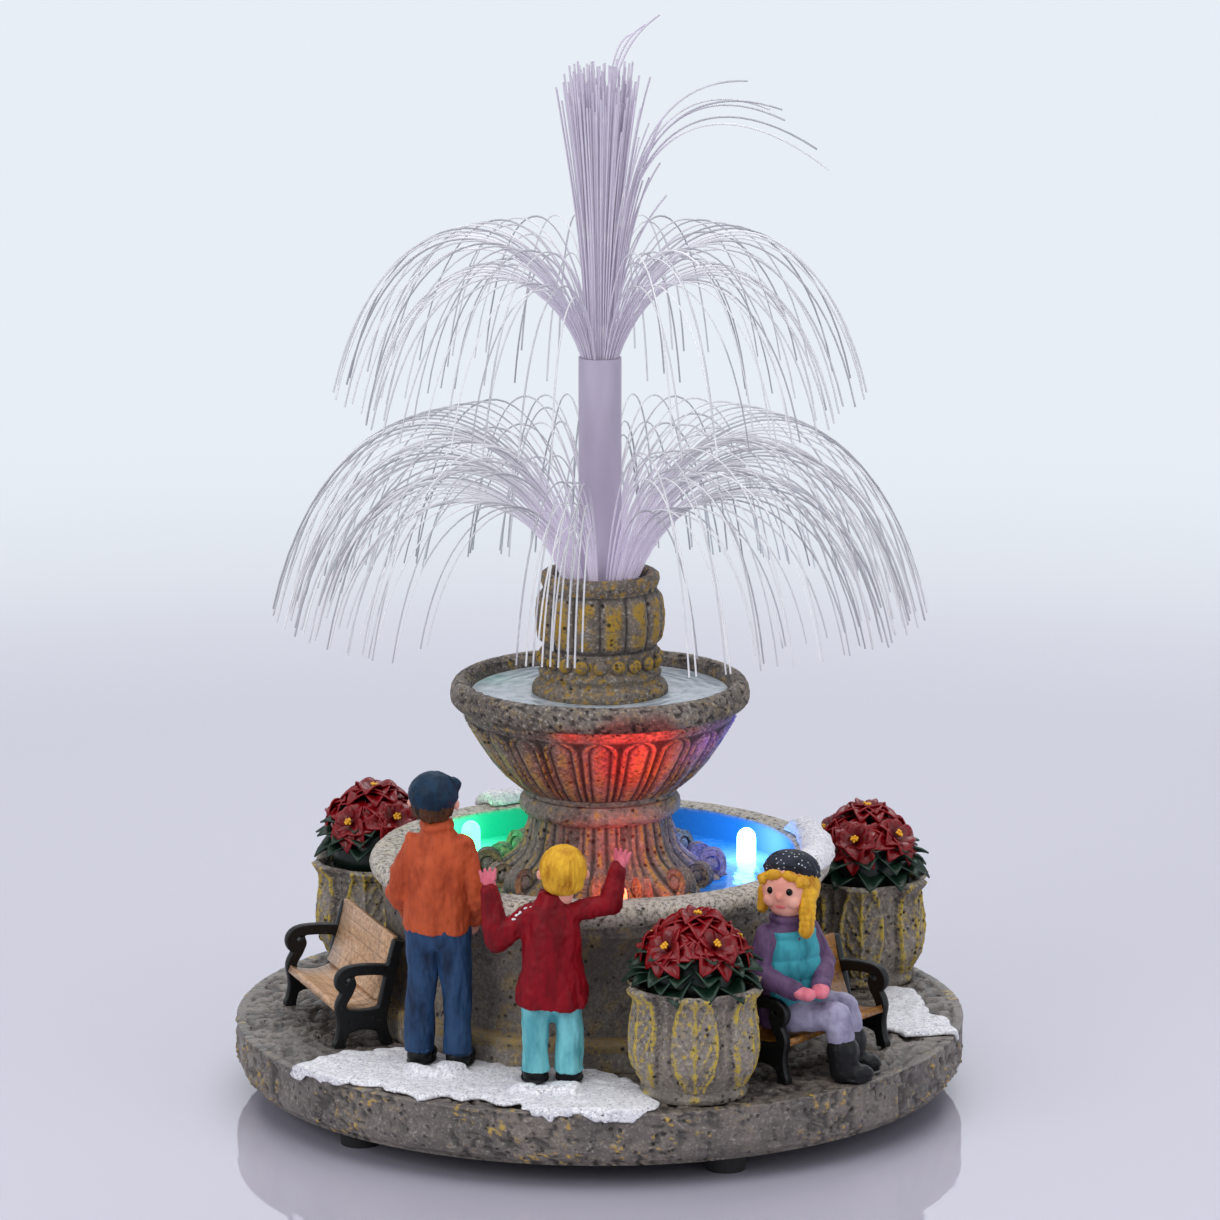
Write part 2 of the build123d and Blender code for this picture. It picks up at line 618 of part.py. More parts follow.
def bottom_cover():
    cover = disc(COVER_RADIUS, SLAB_BOTTOM, COVER_TOP)
    cover += block(WELL_WIDTH, WELL_LENGTH, COVER_TOP, WELL_TOP)
    cover -= block(WELL_INNER_WIDTH, WELL_INNER_LENGTH, COVER_TOP - CUT_OVERRUN, WELL_CEILING)
    cover -= door_opening()
    cover += hinge_ears()
    cover -= hinge_line(HINGE_PIN_RADIUS + BUNDLE_GAP, DOOR_WIDTH + 2 * (RUNNING_GAP + HINGE_PIN_LENGTH))
    head_room = disc(SCREW_HEAD_RADIUS + SEAT_GAP, SLAB_BOTTOM - CUT_OVERRUN, SLAB_BOTTOM + SCREW_HEAD_HEIGHT)
    shank_room = disc(SCREW_RADIUS + SEAT_GAP, SLAB_BOTTOM, COVER_TOP + CUT_OVERRUN)
    at_screw = Pos(SCREW_CIRCLE_RADIUS, 0, 0)
    cover -= around(at_screw * (head_room + shank_room), SCREW_COUNT, SCREW_START_ANGLE)
    slot = block(
        KNOB_WIDTH + 2 * RUNNING_GAP,
        KNOB_LENGTH + SWITCH_TRAVEL + 2 * RUNNING_GAP,
        SLAB_BOTTOM - CUT_OVERRUN,
        COVER_TOP + CUT_OVERRUN,
    )
    cover -= Pos(SWITCH_OFFSET, 0, 0) * slot
    thumb = Sphere(THUMB_NOTCH_RADIUS)
    thumb_z = SLAB_BOTTOM + THUMB_NOTCH_DEPTH - THUMB_NOTCH_RADIUS
    cover -= Pos(0, DOOR_END_Y + RUNNING_GAP, thumb_z) * thumb
    post = disc(BOARD_POST_RADIUS, WELL_TOP, BOARD_BOTTOM)
    post_x = BOARD_WIDTH / 2 - BOARD_POST_RADIUS
    post_y = WELL_LENGTH / 2 - 2 * BOARD_POST_RADIUS - CONTACT_TAB_WIDTH
    cover += [Pos(x, y, 0) * post for x in (-post_x, post_x) for y in (-post_y, post_y)]
    slit = block(
        CONTACT_TAB_WIDTH + 2 * SEAT_GAP,
        CONTACT_THICKNESS + 2 * SEAT_GAP,
        WELL_CEILING - CUT_OVERRUN,
        WELL_TOP + CUT_OVERRUN,
    )
    return cover - [Pos(*spot) * slit for spot in tab_places()]


def battery_door():
    near = HINGE_Y
    plate = block(DOOR_WIDTH, DOOR_END_Y - near, SLAB_BOTTOM, COVER_TOP)
    door = Pos(0, (near + DOOR_END_Y) / 2, 0) * plate
    door += hinge_line(HINGE_BARREL_RADIUS, DOOR_WIDTH)
    door += hinge_line(HINGE_PIN_RADIUS, DOOR_WIDTH + 2 * (RUNNING_GAP + HINGE_PIN_LENGTH) - 2 * SEAT_GAP)
    latch_top = COVER_TOP + LATCH_HEIGHT
    arm = block(LATCH_WIDTH, LATCH_ARM, COVER_TOP, latch_top)
    catch_length = LATCH_ARM + RUNNING_GAP + LATCH_CATCH
    catch = block(LATCH_WIDTH, catch_length, COVER_TOP + SEAT_GAP, latch_top)
    door += Pos(0, LATCH_Y + LATCH_ARM / 2, 0) * arm
    return door + Pos(0, LATCH_Y + catch_length / 2, 0) * catch


# Batteries, board and switch

def batteries():
    can_length = CELL_LENGTH - CELL_NUB_HEIGHT
    can = Cylinder(CELL_RADIUS, can_length, align=STANDING)
    nub = Cylinder(CELL_NUB_RADIUS, CELL_LENGTH, align=STANDING)
    cell = can + nub
    start = CELL_LENGTH - WELL_INNER_LENGTH / 2 + CONTACT_THICKNESS
    return Compound(
        [Pos(x, -end * start, CELL_HEIGHT) * Rot(-90 * end, 0, 0) * cell for x, end in contact_places()]
    )


def coil_path(radius, pitch, turns):
    # Quarter-turn arcs through points of a helix about Z.
    def at(quarter):
        return on_ring(radius, 90 * quarter, pitch * quarter / 4)

    return [ThreePointArc(at(quarter), at(quarter + 0.5), at(quarter + 1)) for quarter in range(4 * turns)]


def battery_springs():
    pitch = (SPRING_LENGTH - 2 * SPRING_WIRE_RADIUS) / SPRING_TURNS
    path = Wire(coil_path(SPRING_RADIUS, pitch, SPRING_TURNS))
    section = Plane(path @ 0, z_dir=path % 0) * Circle(SPRING_WIRE_RADIUS)
    spring = sweep(section, path=path)
    print("spring gap", round(pitch - 2 * SPRING_WIRE_RADIUS, 2))
    start = WELL_INNER_LENGTH / 2 - CONTACT_THICKNESS - SPRING_WIRE_RADIUS
    return Compound(
        [Pos(x, -end * start, CELL_HEIGHT) * Rot(-90 * end, 0, 0) * spring for x, end in contact_places()]
    )


def battery_contacts():
    # Plates that join the cells in a row, with a tab up to the board at either end of the row.
    half = CONTACT_WIDTH / 2
    strap = CONTACT_TAB_WIDTH / 2
    plate = block(CONTACT_WIDTH, CONTACT_THICKNESS, CELL_HEIGHT - half, CELL_HEIGHT + half)
    tab = block(CONTACT_TAB_WIDTH, CONTACT_THICKNESS, CELL_HEIGHT, BOARD_TOP)
    reach = (WELL_INNER_LENGTH - CONTACT_THICKNESS) / 2
    places = list(contact_places())
    first_tab, last_tab = tab_places()
    first_x, first_end = places[0]
    last_x, last_end = places[-1]
    strips = [
        Pos(first_x, first_end * reach, 0) * plate + Pos(*first_tab) * tab,
        Pos(last_x, -last_end * reach, 0) * plate + Pos(*last_tab) * tab,
    ]
    for (x, end), (next_x, _) in zip(places, places[1:]):
        bridge = block(next_x - x, CONTACT_THICKNESS, CELL_HEIGHT - strap, CELL_HEIGHT + strap)
        pair = Pos(x, 0, 0) * plate + Pos(next_x, 0, 0) * plate + Pos((x + next_x) / 2, 0, 0) * bridge
        strips.append(Pos(0, -end * reach, 0) * pair)
    return Compound(strips)


def circuit_board():
    board = block(BOARD_WIDTH, WELL_LENGTH, BOARD_BOTTOM, BOARD_TOP)
    slit = block(
        CONTACT_TAB_WIDTH + 2 * SEAT_GAP,
        CONTACT_THICKNESS + 2 * SEAT_GAP,
        BOARD_BOTTOM - CUT_OVERRUN,
        BOARD_TOP + CUT_OVERRUN,
    )
    board -= [Pos(*spot) * slit for spot in tab_places()]
    chip = block(CHIP_WIDTH, CHIP_LENGTH, BOARD_TOP, BOARD_TOP + CHIP_HEIGHT)
    capacitor = disc(CAPACITOR_RADIUS, BOARD_TOP, BOARD_TOP + CAPACITOR_HEIGHT)
    part_y = BOARD_PAD_RADIUS + CHIP_LENGTH
    return board + Pos(0, -part_y, 0) * chip + Pos(CHIP_WIDTH, part_y, 0) * capacitor


def switch_room():
    # The space inside the switch that its slider moves in.
    width = KNOB_WIDTH + 2 * (KNOB_FLANGE + RUNNING_GAP)
    length = KNOB_LENGTH + SWITCH_TRAVEL + 2 * (KNOB_FLANGE + RUNNING_GAP)
    return block(width, length, COVER_TOP - CUT_OVERRUN, COVER_TOP + KNOB_FLANGE_THICKNESS + 2 * RUNNING_GAP)


def switch_body():
    body = block(SWITCH_WIDTH, SWITCH_LENGTH, COVER_TOP, COVER_TOP + SWITCH_HEIGHT)
    return Pos(SWITCH_OFFSET, 0, 0) * (body - switch_room())


def switch_slider():
    flange_bottom = COVER_TOP + SEAT_GAP
    flange = block(
        KNOB_WIDTH + 2 * KNOB_FLANGE,
        KNOB_LENGTH + 2 * KNOB_FLANGE,
        flange_bottom,
        flange_bottom + KNOB_FLANGE_THICKNESS,
    )
    knob = block(KNOB_WIDTH, KNOB_LENGTH, SLAB_BOTTOM - KNOB_REACH, flange_bottom + KNOB_FLANGE_THICKNESS)
    return Pos(SWITCH_OFFSET, SWITCH_TRAVEL / 2, 0) * (flange + knob)


# Lamps and leads

def lamp():
    # A round lamp standing on its flange, with two legs through the floor below it.
    crown = LAMP_HEIGHT - LAMP_RADIUS
    body = disc(LAMP_RADIUS, 0, crown) + disc(LAMP_FLANGE_RADIUS, 0, LAMP_FLANGE_HEIGHT)
    body += Pos(0, 0, crown) * Sphere(LAMP_RADIUS, arc_size1=0, arc_size2=90)
    leg = disc(LAMP_LEG_RADIUS, -LAMP_LEG_LENGTH, LAMP_FLANGE_HEIGHT / 2)
    return body + [Pos(0, side * LAMP_LEG_PITCH / 2, 0) * leg for side in (-1, 1)]


def pool_lamp(angle):
    return Pos(*on_ring(LAMP_RING_RADIUS, angle, POOL_WATER_TOP)) * Rot(0, 0, angle) * lamp()


def fibre_lamp():
    return Pos(0, 0, HOLDER_BOTTOM + HOLDER_HEIGHT - LAMP_HEIGHT - SEAT_GAP) * lamp()


def lead(points, bend):
    path = FilletPolyline(*points, radius=bend)
    return sweep(Plane(path @ 0, z_dir=path % 0) * Circle(LEAD_RADIUS), path=path)


def wiring():
    leads = []
    for angle in (BLUE_LAMP_ANGLE, GREEN_LAMP_ANGLE, RED_LAMP_ANGLE):
        for side in (-1, 1):
            offset = side * LAMP_LEG_PITCH / 2
            route = [
                Vector(LAMP_RING_RADIUS, offset, POOL_WATER_TOP - LAMP_LEG_LENGTH),
                Vector(LAMP_RING_RADIUS, offset, LEAD_LEVEL),
                Vector(BOARD_PAD_RADIUS, offset, LEAD_LEVEL),
                Vector(BOARD_PAD_RADIUS, offset, BOARD_TOP),
            ]
            leads.append(Rot(0, 0, angle) * lead(route, LEAD_BEND))
    lamp_leg_end = HOLDER_BOTTOM + HOLDER_HEIGHT - LAMP_HEIGHT - SEAT_GAP - LAMP_LEG_LENGTH
    for side in (-1, 1):
        leads.append(Pos(0, side * LAMP_LEG_PITCH / 2, 0) * disc(LEAD_RADIUS, BOARD_TOP, lamp_leg_end))
    switch_top = COVER_TOP + SWITCH_HEIGHT
    for side in (-1, 1):
        offset = side * SWITCH_LENGTH / 4
        route = [
            Vector(SWITCH_OFFSET, offset, switch_top),
            Vector(SWITCH_OFFSET, offset, LEAD_LEVEL - LEAD_BEND / 2),
            Vector(BOARD_WIDTH / 2 - LAMP_LEG_PITCH, offset, LEAD_LEVEL - LEAD_BEND / 2),
            Vector(BOARD_WIDTH / 2 - LAMP_LEG_PITCH, offset, BOARD_TOP),
        ]
        leads.append(lead(route, LEAD_BEND / 2))
    return Compound(leads)


# Pool, pedestal, bowl and vase

def pool_wall():
    plinth_top = SLAB_TOP + POOL_PLINTH_HEIGHT
    rim_bottom = POOL_TOP - POOL_RIM_HEIGHT
    rim_middle = POOL_TOP - POOL_RIM_HEIGHT / 2
    crown_edge = POOL_TOP - POOL_RIM_CROWN
    foot = Polyline(
        profile_point(POOL_BORE_RADIUS, SLAB_TOP),
        profile_point(POOL_PLINTH_RADIUS, SLAB_TOP),
        profile_point(POOL_PLINTH_RADIUS, plinth_top - POOL_PLINTH_CHAMFER),
        profile_point(POOL_PLINTH_RADIUS - POOL_PLINTH_CHAMFER, plinth_top),
        profile_point(POOL_WALL_RADIUS, plinth_top),
    )
    wall = ThreePointArc(
        profile_point(POOL_WALL_RADIUS, plinth_top),
        profile_point(POOL_WAIST_RADIUS, (plinth_top + rim_bottom) / 2),
        profile_point(POOL_WALL_RADIUS, rim_bottom),
    )
    under = ThreePointArc(
        profile_point(POOL_WALL_RADIUS, rim_bottom),
        profile_point((POOL_WALL_RADIUS + 2 * POOL_RIM_RADIUS) / 3, (2 * rim_bottom + rim_middle) / 3),
        profile_point(POOL_RIM_RADIUS, rim_middle),
    )
    outer_top = profile_point(POOL_RIM_RADIUS - POOL_RIM_HEIGHT / 2, POOL_TOP)
    inner_top = profile_point(POOL_RADIUS + POOL_RIM_CROWN, POOL_TOP)
    outer_round = quarter_round(
        profile_point(POOL_RIM_RADIUS, rim_middle), outer_top, profile_point(POOL_RIM_RADIUS, POOL_TOP)
    )
    inner_round = quarter_round(
        inner_top, profile_point(POOL_RADIUS, crown_edge), profile_point(POOL_RADIUS, POOL_TOP)
    )
    inside = Polyline(
        profile_point(POOL_RADIUS, crown_edge),
        profile_point(POOL_RADIUS, POOL_WATER_BOTTOM),
        profile_point(POOL_BORE_RADIUS, POOL_WATER_BOTTOM),
        profile_point(POOL_BORE_RADIUS, SLAB_TOP),
    )
    crown = [outer_round, Line(outer_top, inner_top), inner_round]
    return turned(*foot.edges(), wall, under, *crown, *inside.edges())


def pool_water():
    water = ring(POOL_RADIUS - SEAT_GAP, WIRE_BORE_RADIUS, POOL_WATER_BOTTOM, POOL_WATER_TOP)
    hole_radius = LAMP_LEG_PITCH / 2 + LEAD_RADIUS
    leg_hole = disc(hole_radius, POOL_WATER_BOTTOM - CUT_OVERRUN, POOL_WATER_TOP + CUT_OVERRUN)
    lamp_angles = (BLUE_LAMP_ANGLE, GREEN_LAMP_ANGLE, RED_LAMP_ANGLE)
    return water - [Pos(*on_ring(LAMP_RING_RADIUS, angle)) * leg_hole for angle in lamp_angles]


def pedestal_leaf(share):
    # One acanthus leaf in the radial plane: a band down the flare that ends in a rolled scroll.
    scroll = SCROLL_RADIUS * share
    reach = PEDESTAL_NECK_RADIUS + (SCROLL_REACH - PEDESTAL_NECK_RADIUS) * share
    centre = Vector(reach - scroll, POOL_WATER_TOP + scroll + SEAT_GAP)
    top = Vector(PEDESTAL_NECK_RADIUS + LEAF_RELIEF, PEDESTAL_TOP)
    bend = Vector(PEDESTAL_NECK_RADIUS + 2 * LEAF_RELIEF, (POOL_WATER_TOP + PEDESTAL_TOP) / 2)
    tip = centre + Vector(0, scroll)
    root = Vector(PEDESTAL_NECK_RADIUS - LEAF_RELIEF, PEDESTAL_TOP)
    heel = Vector(PEDESTAL_NECK_RADIUS - LEAF_RELIEF, centre.Y)
    outline = [
        Line(root, top),
        ThreePointArc(top, bend, tip),
        Line(tip, centre),
        Line(centre, heel),
        Line(heel, root),
    ]
    blade = make_face(outline) + Pos(*centre) * Circle(scroll)
    return extrude(Plane.XZ * blade, LEAF_THICKNESS * share / 2, both=True)


def pedestal():
    foot_edge = POOL_WATER_TOP + PEDESTAL_FOOT_EDGE
    collar_mid = PEDESTAL_TOP + COLLAR_HEIGHT / 2
    flare = ThreePointArc(
        profile_point(PEDESTAL_FOOT_RADIUS, foot_edge),
        profile_point(
            (2 * PEDESTAL_NECK_RADIUS + PEDESTAL_FOOT_RADIUS) / 3, (2 * foot_edge + PEDESTAL_TOP) / 3
        ),
        profile_point(PEDESTAL_NECK_RADIUS, PEDESTAL_TOP),
    )
    collar_root = COLLAR_RADIUS - COLLAR_HEIGHT / 2
    ledge = Line(profile_point(PEDESTAL_NECK_RADIUS, PEDESTAL_TOP), profile_point(collar_root, PEDESTAL_TOP))
    collar = ThreePointArc(
        profile_point(collar_root, PEDESTAL_TOP),
        profile_point(COLLAR_RADIUS, collar_mid),
        profile_point(collar_root, BOWL_BOTTOM),
    )
    rest = Polyline(
        profile_point(collar_root, BOWL_BOTTOM),
        profile_point(WIRE_BORE_RADIUS, BOWL_BOTTOM),
        profile_point(WIRE_BORE_RADIUS, POOL_WATER_TOP),
        profile_point(PEDESTAL_FOOT_RADIUS, POOL_WATER_TOP),
        profile_point(PEDESTAL_FOOT_RADIUS, foot_edge),
    )
    leaves = []
    for index, leaf_share in enumerate(SCROLL_SHARES):
        step = 360 / LEAF_COUNT
        leaves += around(pedestal_leaf(leaf_share), LEAF_COUNT // len(SCROLL_SHARES), index * step)
    return turned(flare, ledge, collar, *rest.edges()) + leaves


def bowl():
    lip_top = BOWL_BELLY_TOP + BOWL_LIP_HEIGHT
    rim_middle = lip_top + BOWL_RIM_HEIGHT / 2
    rim_centre = (BOWL_RIM_RADIUS + BOWL_RIM_INNER_RADIUS) / 2
    belly_foot = BOWL_BOTTOM + BOWL_FOOT_HEIGHT
    belly_low = profile_point(BOWL_FOOT_RADIUS, belly_foot)
    belly_high = profile_point(BOWL_BELLY_RADIUS, BOWL_BELLY_TOP)
    slope = belly_high - belly_low
    outward = Vector(slope.Z, 0, -slope.X).normalized()
    belly = ThreePointArc(belly_low, (belly_low + belly_high) / 2 + outward * BOWL_BELLY_BULGE, belly_high)
    lip = Line(belly_high, profile_point(rim_centre, lip_top))
    rim = ThreePointArc(
        profile_point(rim_centre, lip_top),
        profile_point(BOWL_RIM_RADIUS, rim_middle),
        profile_point(rim_centre, BOWL_TOP),
    )
    inner_rim = ThreePointArc(
        profile_point(rim_centre, BOWL_TOP),
        profile_point((2 * BOWL_RIM_INNER_RADIUS + rim_centre) / 3, BOWL_TOP - BOWL_WATER_DROP / 3),
        profile_point(BOWL_RIM_INNER_RADIUS, BOWL_WATER_TOP),
    )
    inside = Polyline(
        profile_point(BOWL_RIM_INNER_RADIUS, BOWL_WATER_TOP),
        profile_point(BOWL_RIM_INNER_RADIUS, BOWL_WATER_BOTTOM),
        profile_point(WIRE_BORE_RADIUS, BOWL_WATER_BOTTOM),
        profile_point(WIRE_BORE_RADIUS, BOWL_BOTTOM),
        profile_point(BOWL_FOOT_RADIUS, BOWL_BOTTOM),
        profile_point(BOWL_FOOT_RADIUS, belly_foot),
    )
    shell = turned(belly, lip, rim, inner_rim, *inside.edges())
    ends = []
    for share in FLUTE_END_SHARES:
        surface = belly_low + slope * share + outward * (4 * BOWL_BELLY_BULGE * share * (1 - share))
        radius = surface.X * sin(radians(180 / FLUTE_COUNT)) - FLUTE_LAND
        ends.append((surface - outward * (radius - FLUTE_RELIEF), radius))
    (low, low_radius), (high, high_radius) = ends
    return shell + around(gadroon(low, high, low_radius, high_radius), FLUTE_COUNT)


def bowl_water():
    return ring(BOWL_RIM_INNER_RADIUS - SEAT_GAP, WIRE_BORE_RADIUS, BOWL_WATER_BOTTOM, BOWL_WATER_TOP)


def vase():
    level = {name: VASE_BOTTOM + share * VASE_HEIGHT for name, share in VASE_PROFILE_SHARES.items()}
    rim_bottom = VASE_TOP - VASE_RIM_HEIGHT
    rim_inner = profile_point((VASE_RIM_RADIUS + VASE_BORE_RADIUS) / 2, VASE_TOP)
    base_edge = profile_point(VASE_BASE_RADIUS, VASE_BOTTOM)
    base_top = profile_point(VASE_BASE_RADIUS, level["base"])
    bead_line = profile_point(VASE_NECK_RADIUS, level["bead"])
    neck = profile_point(VASE_NECK_RADIUS, level["neck"])
    rim_low = profile_point(VASE_NECK_RADIUS, rim_bottom)
    outer = [
        Line(base_edge, base_top),
        Line(base_top, bead_line),
        Line(bead_line, neck),
        ThreePointArc(neck, profile_point(VASE_BELLY_RADIUS, level["belly"]), rim_low),
        ThreePointArc(rim_low, profile_point(VASE_RIM_RADIUS, VASE_TOP - VASE_RIM_HEIGHT / 2), rim_inner),
    ]
    inside = Polyline(
        rim_inner,
        profile_point(VASE_BORE_RADIUS, VASE_TOP),
        profile_point(VASE_BORE_RADIUS, HOLDER_BOTTOM),
        profile_point(WIRE_BORE_RADIUS, HOLDER_BOTTOM),
        profile_point(WIRE_BORE_RADIUS, VASE_BOTTOM),
        base_edge,
    )
    body = turned(*outer, *inside.edges())
    bead = Pos(VASE_NECK_RADIUS, 0, level["bead"]) * Sphere(VASE_BEAD_RADIUS)
    rib_radius = VASE_BELLY_RADIUS * sin(radians(180 / VASE_RIB_COUNT)) - FLUTE_LAND
    rib_depth = VASE_BELLY_RADIUS + VASE_RIB_RELIEF - rib_radius
    rib_share = (VASE_RIB_LENGTH / 2) / rib_radius
    rib = Pos(rib_depth, 0, level["belly"]) * egg(rib_radius, rib_radius * rib_share)
    body += around(bead, VASE_BEAD_COUNT) + around(rib, VASE_RIB_COUNT)
    return body - disc(VASE_BORE_RADIUS, HOLDER_BOTTOM, VASE_TOP + CUT_OVERRUN)


def lamp_holder():
    holder = ring(FERRULE_RADIUS, LAMP_RADIUS + SEAT_GAP, HOLDER_BOTTOM, HOLDER_TOP)
    seat = HOLDER_TOP - LAMP_HEIGHT - SEAT_GAP + LAMP_FLANGE_HEIGHT
    return holder - disc(LAMP_FLANGE_RADIUS + SEAT_GAP, HOLDER_BOTTOM - CUT_OVERRUN, seat)


def fibre_ferrule():
    return ring(FERRULE_RADIUS, FERRULE_RADIUS - FERRULE_WALL, HOLDER_TOP, LOWER_BUNDLE_TOP - FERRULE_DROP)


def stem_sleeve():
    return ring(SLEEVE_RADIUS, SLEEVE_RADIUS - SLEEVE_WALL, HOLDER_TOP, SLEEVE_TOP)


# Fibres

def strand(points, side):
    # A three-sided fibre through points that lie in one plane, square to the side vector.
    # Its edges run parallel to the points' path, so that every side is flat.
    runs = [(after - before).normalized() for before, after in zip(points, points[1:])]
    rows = []
    for index, point in enumerate(points):
        lean = runs[max(index - 1, 0)].cross(side) + runs[min(index, len(runs) - 1)].cross(side)
        lean = lean * (2 / lean.dot(lean))
        rows.append([
            point + (side * cos(radians(turn)) + lean * sin(radians(turn))) * STRAND_SIZE
            for turn in STRAND_TURNS
        ])
    loops = [rows[0], rows[-1]]
    for low, high in zip(rows, rows[1:]):
        for corner in range(len(low)):
            loops.append([low[corner - 1], low[corner], high[corner], high[corner - 1]])
    return Solid(Shell([Face(Wire.make_polygon(loop)) for loop in loops]))


def curve(start, rise, fall, end, steps):
    # Points of a cubic curve drawn out by its two inner handles.
    points = []
    for index in range(steps + 1):
        t = index / steps
        s = 1 - t
        points.append(start * s ** 3 + rise * (3 * s * s * t) + fall * (3 * s * t * t) + end * t ** 3)
    return points


def arching_strand(angle, root, base, reach, apex, drop, steps):
    # A fibre that rises from its root, bends over at the apex height and hangs at its tip.
    handle = (8 * apex + drop) / 6
    rise = root + (reach - root) * SPRAY_RISE_SHARE
    fall = root + (reach - root) * SPRAY_FALL_SHARE
    points = curve(
        on_ring(root, angle, base),
        on_ring(rise, angle, base + handle),
        on_ring(fall, angle, base + handle),
        on_ring(reach, angle, base - drop),
        steps,
    )
    return strand([on_ring(root, angle, base - STRAND_ROOT), *points], on_ring(1, angle + 90))


def lower_spray():
    bundle = ring(LOWER_BUNDLE_RADIUS, LOWER_BUNDLE_BORE, HOLDER_TOP, LOWER_BUNDLE_TOP)
    width = LOWER_BUNDLE_RADIUS - LOWER_BUNDLE_BORE
    rings = list(zip(LOWER_ROOT_SHARES, LOWER_REACH_SHARES, LOWER_APEX_SHARES, LOWER_DROP_SHARES))
    strands = []
    for (centre, spread, count), (far, high) in zip(LOWER_BUNCHES, LOWER_BUNCH_SHARES):
        step = spread / count
        for index in range(count):
            for row, (root, reach, apex, drop) in enumerate(rings):
                strands.append(arching_strand(
                    centre - spread / 2 + step * (index + row / len(rings)),
                    LOWER_BUNDLE_BORE + root * width,
                    LOWER_BUNDLE_TOP,
                    LOWER_REACH * reach * far,
                    LOWER_APEX * apex * high,
                    LOWER_DROP * drop,
                    LOWER_STEPS,
                ))
    return bundle.fuse(*strands), len(strands)


def upper_spray():
    bore = UPPER_BUNDLE_RADIUS - UPPER_BUNDLE_THICKNESS
    bundle = ring(UPPER_BUNDLE_RADIUS, bore, HOLDER_TOP, UPPER_BUNDLE_TOP)
    rings = list(zip(UPPER_ROOT_SHARES, UPPER_REACH_SHARES, UPPER_APEX_SHARES, UPPER_DROP_SHARES))
    strands = []
    for centre, spread, count in UPPER_BUNCHES:
        step = spread / count
        for index in range(count):
            for row, (root, reach, apex, drop) in enumerate(rings):
                strands.append(arching_strand(
                    centre - spread / 2 + step * (index + row / len(rings)),
                    bore + root * UPPER_BUNDLE_THICKNESS,
                    UPPER_BUNDLE_TOP,
                    UPPER_REACH * reach,
                    UPPER_APEX * apex,
                    UPPER_DROP * drop,
                    UPPER_STEPS,
                ))
    return bundle.fuse(*strands), len(strands)


def tuft_roots():
    # A close-packed grid of fibre ends inside the tuft's bundle, nearest the axis first.
    room = TUFT_BUNDLE_RADIUS - TUFT_EDGE
    row_pitch = TUFT_PITCH * sqrt(3) / 2
    rows = ceil(room / row_pitch)
    roots = []
    for row in range(-rows, rows + 1):
        for column in range(-rows - 1, rows + 2):
            x = (column + (row % 2) / 2) * TUFT_PITCH
            y = row * row_pitch
            if hypot(x, y) <= room:
                roots.append((x, y))
    return sorted(roots, key=lambda root: hypot(*root))


def tuft_strand(x, y, index):
    # A nearly upright fibre that leans outward as it rises, cut at its own height.
    flare = TUFT_RADIUS / (TUFT_BUNDLE_RADIUS - TUFT_EDGE)
    uneven = (index * TUFT_UNEVEN_STRIDE) % TUFT_UNEVEN_STEPS / TUFT_UNEVEN_STEPS
    height = TUFT_HEIGHT * (1 - TUFT_UNEVEN_SHARE * uneven)
    points = [Vector(x, y, UPPER_BUNDLE_TOP - STRAND_ROOT)]
    for step in range(TUFT_STEPS + 1):
        rise = step / TUFT_STEPS
        spread = 1 + (flare - 1) * rise ** TUFT_FLARE_POWER
        points.append(Vector(x * spread, y * spread, UPPER_BUNDLE_TOP + height * rise))
    return points


def tall_strand(x, y, tip, step):
    # One of the few fibres that stand above the tuft and lean over at the top.
    bent = curve(
        Vector(x, y, tip),
        Vector(x, y, tip + TALL_RISE / 2),
        Vector(x + TALL_LEAN / 2, y, tip + TALL_RISE - step),
        Vector(x + TALL_LEAN - step, y, tip + TALL_RISE - step),
        TUFT_STEPS,
    )
    return [Vector(x, y, UPPER_BUNDLE_TOP - STRAND_ROOT), *bent]


def top_tuft():
    bundle = disc(TUFT_BUNDLE_RADIUS, HOLDER_TOP, UPPER_BUNDLE_TOP)
    strands = []
    tip = UPPER_BUNDLE_TOP + TUFT_HEIGHT
    for index, (x, y) in enumerate(tuft_roots()):
        if index < TALL_COUNT:
            strands.append(strand(tall_strand(x, y, tip, TUFT_PITCH * index), Vector(0, 1, 0)))
        else:
            strands.append(strand(tuft_strand(x, y, index), Vector(-y, x, 0).normalized()))
    root_radius = TUFT_BUNDLE_RADIUS - TUFT_EDGE / 2
    knee = TUFT_HEIGHT * STRAY_KNEE_SHARE
    for index in range(STRAY_COUNT):
        turn = STRAY_SPREAD * ((index + 0.5) / STRAY_COUNT - 0.5)
        out = on_ring(1, turn * STRAY_FAN_SHARE)
        root = on_ring(root_radius, turn, UPPER_BUNDLE_TOP)
        reach = STRAY_REACH * STRAY_REACH_SHARES[index] - root_radius
        end = TUFT_HEIGHT * STRAY_TIP_SHARES[index]
        points = curve(
            root,
            root + out * TUFT_RADIUS + Vector(0, 0, knee),
            root + out * (TUFT_RADIUS + reach / 3) + Vector(0, 0, TUFT_HEIGHT + (end - knee) / 2),
            root + out * reach + Vector(0, 0, end),
            STRAY_STEPS,
        )
        start = root - Vector(0, 0, STRAND_ROOT)
        strands.append(strand([start, *points], on_ring(1, turn * STRAY_FAN_SHARE + 90)))
    return bundle.fuse(*strands), len(strands)


# Benches

